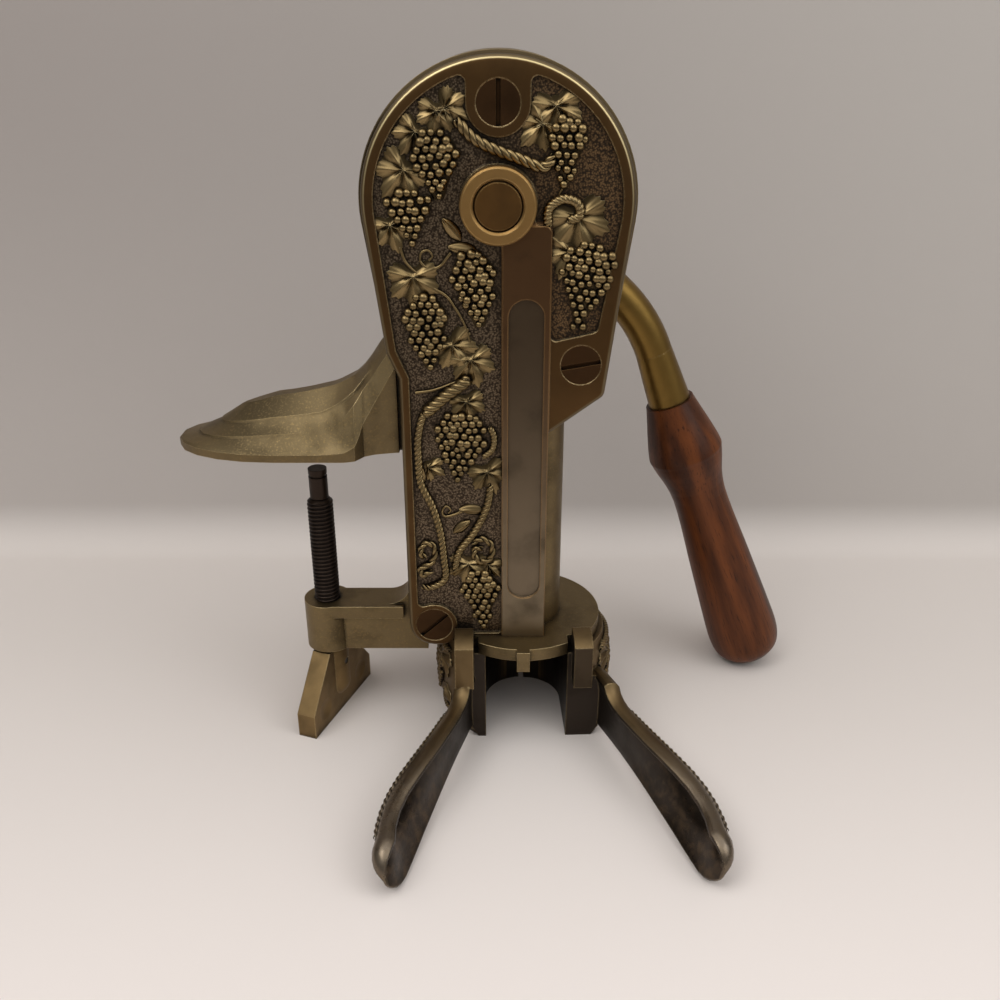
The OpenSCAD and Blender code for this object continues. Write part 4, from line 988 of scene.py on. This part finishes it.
@dataclass
class VineCarving:
    """Grapevine in relief on a ground."""

    ground: Ground
    clusters: tuple[Cluster, ...] = ()
    leaves: tuple[Leaf, ...] = ()
    ropes: tuple[Rope, ...] = ()
    tendrils: tuple[tuple[Flat, ...], ...] = ()
    tendril_r: float = 0.62
    seed: int = 7
    berry_gap: float = 1.76
    berry_shake: float = 0.16
    lobe_turns: tuple[float, ...] = (0.0, 52.0, -52.0, 104.0, -104.0)
    lobe_lengths: tuple[float, ...] = (0.8, 0.7, 0.7, 0.6, 0.6)
    lobe_half: float = 26.0
    notch: float = 0.52
    teeth: float = 0.05
    vein: float = 0.14
    petal_width: float = 0.55
    sunk: float = 0.3
    strand_lane: float = 0.52
    strand_r: float = 0.56
    pair_r: float = 0.66
    strand_tip: float = 0.3
    strand_taper: float = 12.0
    blade_spokes: int = 120
    blade_rings: tuple[float, ...] = (1.0, 0.86, 0.7, 0.55, 0.4, 0.25, 0.12, 0.03)

    def slice(self, flats: Sequence[Vector], rises: Sequence[float]) -> list[Vector]:
        """Make a ring that runs over places on the ground and back below it.

        Args:
            flats: Places on the ground.
            rises: Height of each.

        Returns:
            Points of the ring.
        """
        ring = [self.ground.at(p.x, p.y, rise) for p, rise in zip(flats, rises)]
        ring.extend(self.ground.at(p.x, p.y, -self.sunk) for p in reversed(flats))
        return ring

    def mound(self, form: Form, bunch: Cluster) -> None:
        """Add the low mound that a bunch is heaped on.

        Args:
            form: Form that takes it.
            bunch: The bunch.
        """
        top, run, across = bunch.axes()
        lanes = [k / 5 - 1 for k in range(11)]
        rows = []
        for i in range(13):
            share = 0.04 + 0.9 * i / 12
            rise = bunch.heap * math.sin(math.pi * (i + 0.4) / 12.8) ** 0.5
            half = bunch.half(share) * 0.92
            flats = [top + run * share + across * (half * lane) for lane in lanes]
            rows.append(self.slice(flats, [rise * (1 - lane ** 2) for lane in lanes]))
        form.skin(rows)

    def grapes(self, form: Form) -> None:
        """Add bunches of grapes, packed in rows that are shaken a little.

        Args:
            form: Form that takes them.
        """
        dice = random.Random(self.seed)
        for bunch in self.clusters:
            self.mound(form, bunch)
            top, run, across = bunch.axes()
            apart = self.berry_gap * bunch.berry
            reach = self.berry_shake * apart
            rows = int(run.length / (apart * math.sqrt(0.75)))
            for row in range(rows + 1):
                share = row / rows
                half = bunch.half(share)
                count = int(half / apart) + 1
                for k in range(-count, count + 1):
                    lane = (k + 0.5 * (row % 2)) * apart / half
                    shake = Vector((dice.uniform(-1.0, 1.0), dice.uniform(-1.0, 1.0))) * reach
                    radius = bunch.berry * dice.uniform(0.84, 1.14) * (1.06 - 0.22 * share)
                    if abs(lane) > 1.0:
                        continue
                    flat = top + run * share + across * (lane * half) + shake
                    rise = bunch.heap * (1 - lane ** 2) * math.sin(math.pi * share) ** 0.5
                    form.ball(self.ground.at(flat.x, flat.y, rise + 0.42 * radius), radius)

    def petal(self, form: Form, leaf: Leaf) -> None:
        """Add one narrow leaf, ribbed along its length.

        Args:
            form: Form that takes it.
            leaf: The leaf.
        """
        along = heading(leaf.turn - 90)
        across = Vector((-along.y, along.x))
        base = Vector(leaf.at) - along * (0.5 * leaf.size)
        lanes = [k / 8 - 1 for k in range(17)]
        rows = []
        for i in range(13):
            share = 0.02 + 0.965 * i / 12
            half = self.petal_width * leaf.size * share ** 0.65 * (1 - share) ** 0.55
            flats = [base + along * (leaf.size * share) + across * (half * lane) for lane in lanes]
            rises = []
            for lane in lanes:
                rib = 0.1 * leaf.lift * math.cos(3 * math.pi * lane) * (1 - share)
                rises.append(leaf.lift * (1 - 0.6 * share ** 2) * (1 - 0.9 * abs(lane) ** 1.6) + rib)
            rows.append(self.slice(flats, rises))
        form.skin(rows)

    def blade(self, form: Form, leaf: Leaf) -> None:
        """Add one broad leaf, folded up along its lobes and down between them.

        Args:
            form: Form that takes it.
            leaf: The leaf.
        """
        turn = leaf.turn - 90
        base = Vector(leaf.at) - heading(turn) * (0.26 * leaf.size)
        lobes = list(zip(self.lobe_turns, self.lobe_lengths))[:leaf.lobes]
        rows: list[list[Vector]] = [[] for _ in range(len(self.blade_rings) + 1)]
        for k in range(self.blade_spokes):
            angle = 360 * k / self.blade_spokes - 180
            off, length = min((abs(angle - a), size) for a, size in lobes)
            side = min(1.0, off / self.lobe_half)
            back = min(1.0, max(0.0, off - self.lobe_half) / self.lobe_half)
            reach = self.notch + (length - self.notch) * (1 - side ** 1.15) - 0.3 * back
            reach *= leaf.size * (1 + self.teeth * math.cos(4 * math.pi * side))
            ray = heading(turn + angle) * reach
            flat = base + ray
            rows[0].append(self.ground.at(flat.x, flat.y, -self.sunk))
            for row, share in zip(rows[1:], self.blade_rings):
                near = max(0.0, 1 - share / 0.3)
                fold = (1 - side ** 1.3) * (1 - near) + 0.7 * near
                vein = self.vein * max(0.0, 1 - side / 0.2) * (1 - share)
                rise = leaf.lift * ((0.3 + 0.7 * fold) * (1 - 0.5 * share ** 2) + vein)
                flat = base + ray * share
                row.append(self.ground.at(flat.x, flat.y, rise))
        form.skin(rows)

    def foliage(self, form: Form) -> None:
        """Add the leaves, broad ones with lobes and narrow single ones.

        Args:
            form: Form that takes them.
        """
        for leaf in self.leaves:
            add = self.blade if leaf.lobes > 1 else self.petal
            add(form, leaf)

    def stems(self, form: Form) -> None:
        """Add the twisted stems.

        Args:
            form: Form that takes them.
        """
        step = 0.35
        for rope in self.ropes:
            points = smooth_path(rope.path, step)
            lane = rope.size * self.strand_lane
            thick = rope.size * (self.strand_r if rope.strands > 2 else self.pair_r)
            for strand in range(rope.strands):
                axis = []
                outs = []
                for i, point in enumerate(points):
                    before = Vector(points[max(i - 1, 0)])
                    after = Vector(points[min(i + 1, len(points) - 1)])
                    run = (after - before).normalized()
                    turn = 2 * math.pi * (i * step / rope.pitch + strand / rope.strands)
                    flat = Vector(point) + Vector((-run.y, run.x)) * (lane * math.cos(turn))
                    axis.append(self.ground.at(flat.x, flat.y, rope.size * 0.6 + lane * math.sin(turn)))
                    outs.append(self.ground.out(flat.x, flat.y))
                form.tube(axis, outs, lambda s: thick * min(
                    1.0, self.strand_tip + self.strand_taper * min(s, 1 - s)))

    def curls(self, form: Form) -> None:
        """Add the thin tendrils.

        Args:
            form: Form that takes them.
        """
        for path in self.tendrils:
            flats = smooth_path(path, 0.4)
            points = [self.ground.at(*flat, 0.85 * self.tendril_r) for flat in flats]
            outs = [self.ground.out(*flat) for flat in flats]
            form.tube(points, outs, lambda s: self.tendril_r * (1.0 - 0.35 * s))


@dataclass
class CoverVine:
    """The vine on the front cover, as four pieces."""

    clusters: tuple[Cluster, ...] = (
        Cluster((-31.9, 242.4), (-30.2, 219.5), 16.4), Cluster((-41.2, 222.9), (-39.9, 206.3), 15.6),
        Cluster((13.8, 246.0), (12.3, 225.5), 12.4), Cluster((22.6, 205.4), (18.4, 176.8), 18.0),
        Cluster((-19.6, 202.4), (-16.3, 175.0), 16.4), Cluster((-36.4, 187.2), (-34.8, 159.9), 16.4),
        Cluster((-23.6, 142.6), (-25.6, 117.5), 19.2), Cluster((-17.9, 76.0), (-16.1, 51.4), 15.6))
    leaves: tuple[Leaf, ...] = (
        Leaf((-30.8, 246.5), 10.5, -10), Leaf((-25.0, 249.0), 11.0, 65), Leaf((-39.2, 240.4), 11.0, -35),
        Leaf((-44.2, 227.8), 14.5, -40), Leaf((-46.2, 209.4), 12.0, 15), Leaf((-26.1, 211.0), 10.0, 40, 1),
        Leaf((-22.4, 204.3), 10.5, 80, 1), Leaf((9.7, 247.4), 13.5, 10), Leaf((2.4, 243.0), 12.5, -45),
        Leaf((18.2, 211.0), 17.0, 15), Leaf((13.7, 200.6), 13.0, -20), Leaf((-39.6, 191.0), 15.0, 5),
        Leaf((-25.0, 167.3), 13.5, 30), Leaf((-19.1, 161.4), 13.5, 15), Leaf((-21.3, 146.0), 11.0, 10),
        Leaf((-39.6, 118.8), 9.0, 0, 1), Leaf((-34.8, 121.5), 9.0, 60, 3), Leaf((-13.2, 117.5), 12.5, 20),
        Leaf((-20.5, 104.1), 10.0, 85, 1), Leaf((-24.3, 96.8), 9.0, -50, 1), Leaf((-22.2, 77.3), 13.0, -5),
        Leaf((-12.6, 78.5), 9.0, 40, 3))
    ropes: tuple[Rope, ...] = (
        Rope(((-24.0, 246.6), (-18.4, 240.8), (-11.0, 237.1), (-2.9, 234.2), (5.0, 231.6), (8.6, 235.2)),
             1.9, 9.0),
        Rope(((-21.6, 156.3), (-29.7, 150.7), (-37.0, 145.0), (-40.1, 135.4), (-40.4, 125.5), (-39.8, 115.5),
              (-35.5, 105.2), (-32.9, 94.6), (-31.8, 83.9), (-31.5, 73.9), (-37.0, 69.8), (-41.0, 70.2))),
        Rope(((-20.4, 157.6), (-28.6, 151.8), (-37.4, 144.0)), 2.3, 8.0),
        Rope(((-12.9, 115.5), (-14.6, 105.2), (-19.6, 94.6), (-25.6, 86.0), (-27.6, 76.8))),
        Rope(((-13.3, 138.6), (-11.6, 134.5), (-12.4, 129.5), (-16.0, 126.5)), 1.3, 4.0),
        Rope(((7.2, 212.0), (7.2, 217.8), (12.0, 221.2), (17.0, 219.6), (17.6, 215.4), (13.6, 214.2)),
             1.7, 4.2),
        Rope(((-16.2, 87.2), (-18.9, 87.4), (-19.7, 84.3), (-16.9, 81.5), (-12.9, 83.5), (-12.9, 88.9),
              (-16.8, 91.6), (-20.6, 89.6)), 1.2, 7.0, 2),
        Rope(((-36.3, 77.3), (-40.6, 75.4), (-41.0, 78.4), (-37.1, 80.6), (-35.1, 84.9), (-36.3, 89.1),
              (-39.7, 89.0), (-41.0, 85.2), (-38.6, 83.2)), 1.2, 7.0, 2))
    tendrils: tuple[tuple[Flat, ...], ...] = (
        ((-26.5, 203.0), (-28.1, 201.0), (-30.3, 198.5), (-33.9, 197.4), (-37.0, 199.9), (-36.8, 203.0),
         (-34.4, 203.9), (-32.9, 202.0), (-34.2, 200.4)),
        ((-44.0, 205.0), (-42.6, 200.5), (-40.2, 197.5), (-37.0, 195.0)),
        ((-33.4, 190.9), (-28.6, 188.1), (-25.6, 184.1), (-21.9, 177.2), (-19.6, 168.4)),
        ((-24.1, 103.6), (-27.5, 102.0), (-30.9, 101.4), (-31.9, 103.6), (-30.3, 105.7), (-28.5, 104.1),
         (-29.6, 102.8)),
        ((-40.6, 152.0), (-34.0, 153.0), (-27.0, 155.6), (-21.6, 158.3)),
        ((15.5, 229.5), (12.6, 226.0), (10.6, 222.5)))

    def build(self, finish: Finish) -> None:
        """Make the pieces of the relief.

        Args:
            finish: Finish of all four.
        """
        vine = VineCarving(FrontField(), self.clusters, self.leaves, self.ropes, self.tendrils)
        parts = {"grape_bunches": vine.grapes, "vine_leaves": vine.foliage, "vine_stems": vine.stems,
                 "vine_tendrils": vine.curls}
        for name, add in parts.items():
            form = Form()
            add(form)
            form.piece(name, finish, Mover.BODY)


@dataclass
class JawVine:
    """The vine round the cup and along the handle of one jaw."""

    side: Side
    mover: Mover
    opened: float
    root_x: float
    flare: float
    clusters: tuple[Cluster, ...] = (Cluster((-3.0, 33.0), (-5.0, 9.0), 14.0, 1.35, 0.5),
                                     Cluster((25.0, 33.0), (24.0, 9.0), 14.0, 1.35, 0.5))
    leaves: tuple[Leaf, ...] = (Leaf((-12.5, 29.0), 13.0, -30), Leaf((9.5, 29.0), 14.0, 15),
                                Leaf((10.0, 13.0), 12.0, -15), Leaf((-13.0, 13.0), 10.0, 10, 3),
                                Leaf((35.0, 27.0), 12.0, 20), Leaf((35.0, 12.0), 10.0, -10, 3))
    ropes: tuple[Rope, ...] = (Rope(((-18.0, 36.6), (0.0, 37.6), (20.0, 36.6), (40.0, 37.6)), 1.3, 5.5),
                               Rope(((-14.0, 4.0), (4.0, 3.4), (22.0, 4.0), (40.0, 3.4)), 1.2, 5.5))
    edge_rope: tuple[Flat, ...] = ((42.0, 3.6), (60.0, 3.3), (84.0, 3.1), (106.5, 3.2))
    sprig_rows: range = range(46, 106, 6)
    sprig_pair: tuple[Flat, Flat] = ((7.4, 55.0), (9.8, 125.0))
    sprig_size: float = 8.6
    sprig_lift: float = 0.9

    def build(self, finish: Finish) -> None:
        """Make the carving of the jaw as one piece.

        Args:
            finish: Its finish.
        """
        form = Form()
        cup = VineCarving(CupWall(self.side, self.opened), self.clusters, self.leaves, self.ropes, seed=11)
        cup.grapes(form)
        cup.foliage(form)
        cup.stems(form)
        leaves = tuple(Leaf((u, v), self.sprig_size, turn, 1, self.sprig_lift)
                       for u, (v, turn) in zip(self.sprig_rows, cycle(self.sprig_pair)))
        back = VineCarving(HandleBack(self.side, self.opened, root_x=self.root_x, flare=self.flare),
                           leaves=leaves, ropes=(Rope(self.edge_rope, 0.72, 5.0, 2),))
        back.foliage(form)
        back.stems(form)
        name = f"{self.mover.value}_vine"
        form.piece(name, finish, self.mover)


@dataclass
class ClampThread:
    """Threaded spindle of the counter clamp."""

    x: float = -82.6
    y: float = -4.0
    foot_z: float = 13.6
    thread_z: float = 32.4
    top_z: float = 101.7
    radius: float = 5.28
    shank_r: float = 4.48
    pitch: float = 1.75
    depth: float = 0.9
    chamfer: float = 1.5
    runout: float = 0.3
    rings: int = 9
    sides: int = 40
    root_width: float = 1.35
    flank: float = 3.6

    def wave(self, z: float, turn: float) -> float:
        """Share of the thread's depth at a height and a share of a turn, from 0 on the crest."""
        phase = (z / self.pitch - turn) % 1.0
        return min(1.0, max(0.0, self.root_width - abs(phase - 0.5) * self.flank))

    def build(self, finish: Finish) -> None:
        """Make the spindle, which stands for its plain solid.

        Args:
            finish: Its finish.
        """
        form = Form()
        rows = [[Vector((self.x + self.shank_r * math.cos(a), self.y + self.shank_r * math.sin(a), z))
                 for a in circle(self.sides)] for z in (self.foot_z, self.thread_z - self.runout)]
        count = int((self.top_z - self.thread_z) / self.pitch * self.rings)
        for i in range(count + 1):
            z = self.thread_z + (self.top_z - self.thread_z) * i / count
            end = min(1.0, (self.top_z - z) / self.chamfer)
            row = []
            for k, a in enumerate(circle(self.sides)):
                size = self.radius - self.depth * self.wave(z, k / self.sides)
                size = min(size, self.radius - self.chamfer * (1 - end))
                row.append(Vector((self.x + size * math.cos(a), self.y + size * math.sin(a), z)))
            rows.append(row)
        form.skin(rows)
        made = form.piece("clamp_thread", finish, Mover.CLAMP_SCREW)
        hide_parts("clamp_spindle")


@dataclass(frozen=True)
class Lamp:
    """A soft square lamp: its place in millimetres, its side in metres and its power in watts."""

    name: str
    place: tuple[float, float, float]
    side: float
    watts: float
    tint: Rgb = (1.0, 0.985, 0.965)

    def build(self, aim: tuple[float, float, float]) -> None:
        """Add the lamp.

        Args:
            aim: Place that it points at, in millimetres.
        """
        data = bpy.data.lights.new(self.name, "AREA")
        data.size = self.side
        data.energy = self.watts
        data.color = self.tint
        made = add_object(self.name, data)
        made.location = spot(*self.place)
        made.rotation_euler = (spot(*aim) - made.location).to_track_quat("-Z", "Y").to_euler()


@dataclass
class Studio:
    """Camera, lamps, sweep and world."""

    eye: tuple[float, float, float] = (-9.4, -372.0, 272.0)
    pitch_down: float = 25.0
    lens: float = 36.0
    aim: tuple[float, float, float] = (-20.0, -60.0, 90.0)
    lamps: tuple[Lamp, ...] = (
        Lamp("top", (0.0, -140.0, 780.0), 1.35, 5.9),
        Lamp("key", (-480.0, -420.0, 860.0), 0.5, 2.0),
        Lamp("fill", (620.0, -380.0, 560.0), 0.5, 1.2, (0.97, 0.985, 1.0)),
    )
    low_sky: Rgb = (0.30, 0.29, 0.28)
    high_sky: Rgb = (0.52, 0.51, 0.50)
    floor_ys: tuple[float, ...] = (-1800.0, -400.0, 0.0)
    bend_y: float = 130.0
    bend_r: float = 25.0
    bend_parts: int = 16
    wall_z: float = 1500.0
    half_width: float = 2200.0

    def camera(self) -> None:
        """Place the camera of the photograph."""
        data = bpy.data.cameras.new("photo_camera")
        data.lens = self.lens
        data.sensor_width = 36.0
        data.clip_start = 0.01
        data.clip_end = 20.0
        made = add_object("photo_camera", data)
        turn = Matrix.Rotation(math.radians(90 - self.pitch_down), 4, "X")
        made.matrix_world = Matrix.Translation(spot(*self.eye)) @ turn
        bpy.context.scene.camera = made

    def sweep(self) -> None:
        """Add the floor and the wall behind it as one curved sheet."""
        profile: list[Flat] = [(y, 0.0) for y in (*self.floor_ys, self.bend_y)]
        for k in range(1, self.bend_parts + 1):
            a = math.pi / 2 * k / self.bend_parts
            profile.append((self.bend_y + self.bend_r * math.sin(a), self.bend_r * (1 - math.cos(a))))
        profile.append((self.bend_y + self.bend_r, self.wall_z))
        points = [spot(x, y, z) for y, z in profile for x in (-self.half_width, self.half_width)]
        faces = [(2 * i, 2 * i + 1, 2 * i + 3, 2 * i + 2) for i in range(len(profile) - 1)]
        mesh = bpy.data.meshes.new("sweep")
        mesh.from_pydata(points, [], faces)
        mesh.polygons.foreach_set("use_smooth", [True] * len(mesh.polygons))
        mesh.materials.append(Backdrop("sweep_paper").material())
        add_object("sweep", mesh)

    def sky(self) -> None:
        """Light the room softly, brighter from above."""
        world = bpy.data.worlds.new("soft_room")
        sheet = NodeSheet(world)
        height = sheet.axes(sheet.node("ShaderNodeTexCoord", out="Generated"))[2]
        tone = sheet.mix(height.step(-0.2, 0.9), self.low_sky, self.high_sky)
        sheet.close(sheet.node("ShaderNodeBackground", None, {"Color": tone}), "ShaderNodeOutputWorld")
        bpy.context.scene.world = world

    def build(self) -> None:
        """Set up the whole studio."""
        bpy.context.scene.view_settings.view_transform = "Standard"
        self.sky()
        self.sweep()
        self.camera()
        for lamp in self.lamps:
            lamp.build(self.aim)


@dataclass
class Corkscrew:
    """The solids of the mechanism and the finish of each."""

    nodes: dict[str, bpy.types.Object]
    smooth_to: dict[str, float] = field(default_factory=lambda: {
        "rear_housing": 24.0, "front_cover": 32.0, "left_jaw": 36.0, "right_jaw": 36.0})

    def finishes(self) -> dict[str, Finish]:
        """Finish of each solid that isn't plain steel.

        Returns:
            Finishes by the name of the solid.
        """
        housing = HousingBrass("cast_housing", edge_r=0.4)
        bushing = AgedMetal("turned_bushing", middle=paint(160, 126, 77), bright=paint(214, 184, 126),
                               patina=0.15, rough=0.4, edge_r=0.5, hollow=1.5)
        return {
            "rear_housing": housing,
            "front_cover": CoverBrass("cover_brass", patina=0.3, rough=0.42),
            "cover_screws": DARK_BRONZE,
            "front_bushing": bushing,
            "rear_bushing": bushing,
            "lever_shaft": AgedMetal("shaft_brass", middle=paint(104, 76, 43), bright=paint(190, 160, 104),
                                        edge_r=0.5, hollow=1.2, patina=0.3),
            "lever_arm": AgedMetal("bent_lever", middle=paint(126, 100, 52), patina=0.2, rough=0.34),
            "hub_screw": DARK_BRONZE,
            "grip": Walnut("oiled_walnut"),
            "bottle_collar": housing,
            "collar_screws": DARK_BRONZE,
            "left_jaw": LEFT_JAW,
            "right_jaw": RIGHT_JAW,
            "clamp_nose": BLACK_STEEL,
            "idler_clip": BLACK_STEEL,
            "thumb_wing": AgedMetal("wing_brass", middle=paint(136, 113, 77), patina=0.4),
            "worm_nut": bushing,
            "thrust_washer": bushing,
        }

    def soften(self, name: str, limit: float) -> None:
        """Shade the facets of a solid as one smooth surface up to an angle.

        Args:
            name: Name of the solid.
            limit: Largest angle between facets that is shaded smooth, in degrees.
        """
        tree = bpy.data.node_groups.new(f"{name}_shading", "GeometryNodeTree")
        tree.interface.new_socket("Geometry", in_out="INPUT", socket_type="NodeSocketGeometry")
        tree.interface.new_socket("Geometry", in_out="OUTPUT", socket_type="NodeSocketGeometry")
        kinds = ("NodeGroupInput", "GeometryNodeMergeByDistance", "GeometryNodeRemoveAttribute",
                 "GeometryNodeSetShadeSmooth", "GeometryNodeSetShadeSmooth", "NodeGroupOutput")
        chain = [tree.nodes.new(kind) for kind in kinds]
        for before, after in zip(chain, chain[1:]):
            tree.links.new(before.outputs[0], after.inputs[0])
        _, weld, bare, faces, edges, _ = chain
        weld.inputs["Distance"].default_value = 0.002 * MM
        bare.inputs["Name"].default_value = "custom_normal"
        faces.inputs["Shade Smooth"].default_value = True
        edges.domain = "EDGE"
        edges.inputs["Shade Smooth"].default_value = False
        angle = tree.nodes.new("GeometryNodeInputMeshEdgeAngle")
        sharp = tree.nodes.new("FunctionNodeCompare")
        sharp.inputs["B"].default_value = math.radians(limit)
        tree.links.new(angle.outputs["Unsigned Angle"], sharp.inputs["A"])
        tree.links.new(sharp.outputs[0], edges.inputs["Selection"])
        self.nodes[name].modifiers.new("shading", "NODES").node_group = tree

    def dress(self) -> None:
        """Give every solid its finish."""
        finishes = self.finishes()
        for name, made in self.nodes.items():
            finish = finishes.get(name, OILED_STEEL).material()
            made.data.materials.clear()
            made.data.materials.append(finish)
            LOG.info("%s: %s", name, finish.name)
        for name, limit in self.smooth_to.items():
            self.soften(name, limit)


def main() -> None:
    """Load the solids, dress them and build the scene."""
    logging.basicConfig(level=logging.INFO, format="%(name)s: %(message)s")
    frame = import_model()
    Studio().build()
    Corkscrew(frame["nodes"]).dress()
    gilt = ReliefBrass("relief_brass")
    CoverVine().build(gilt)
    JawVine(Side.LEFT, Mover.JAW_LEFT, -1.0, 21.8, 0.288).build(LEFT_JAW)
    JawVine(Side.RIGHT, Mover.JAW_RIGHT, 2.5, 29.6, 0.32).build(RIGHT_JAW)
    ClampThread().build(BLACK_STEEL)


if __name__ == "__main__":
    main()
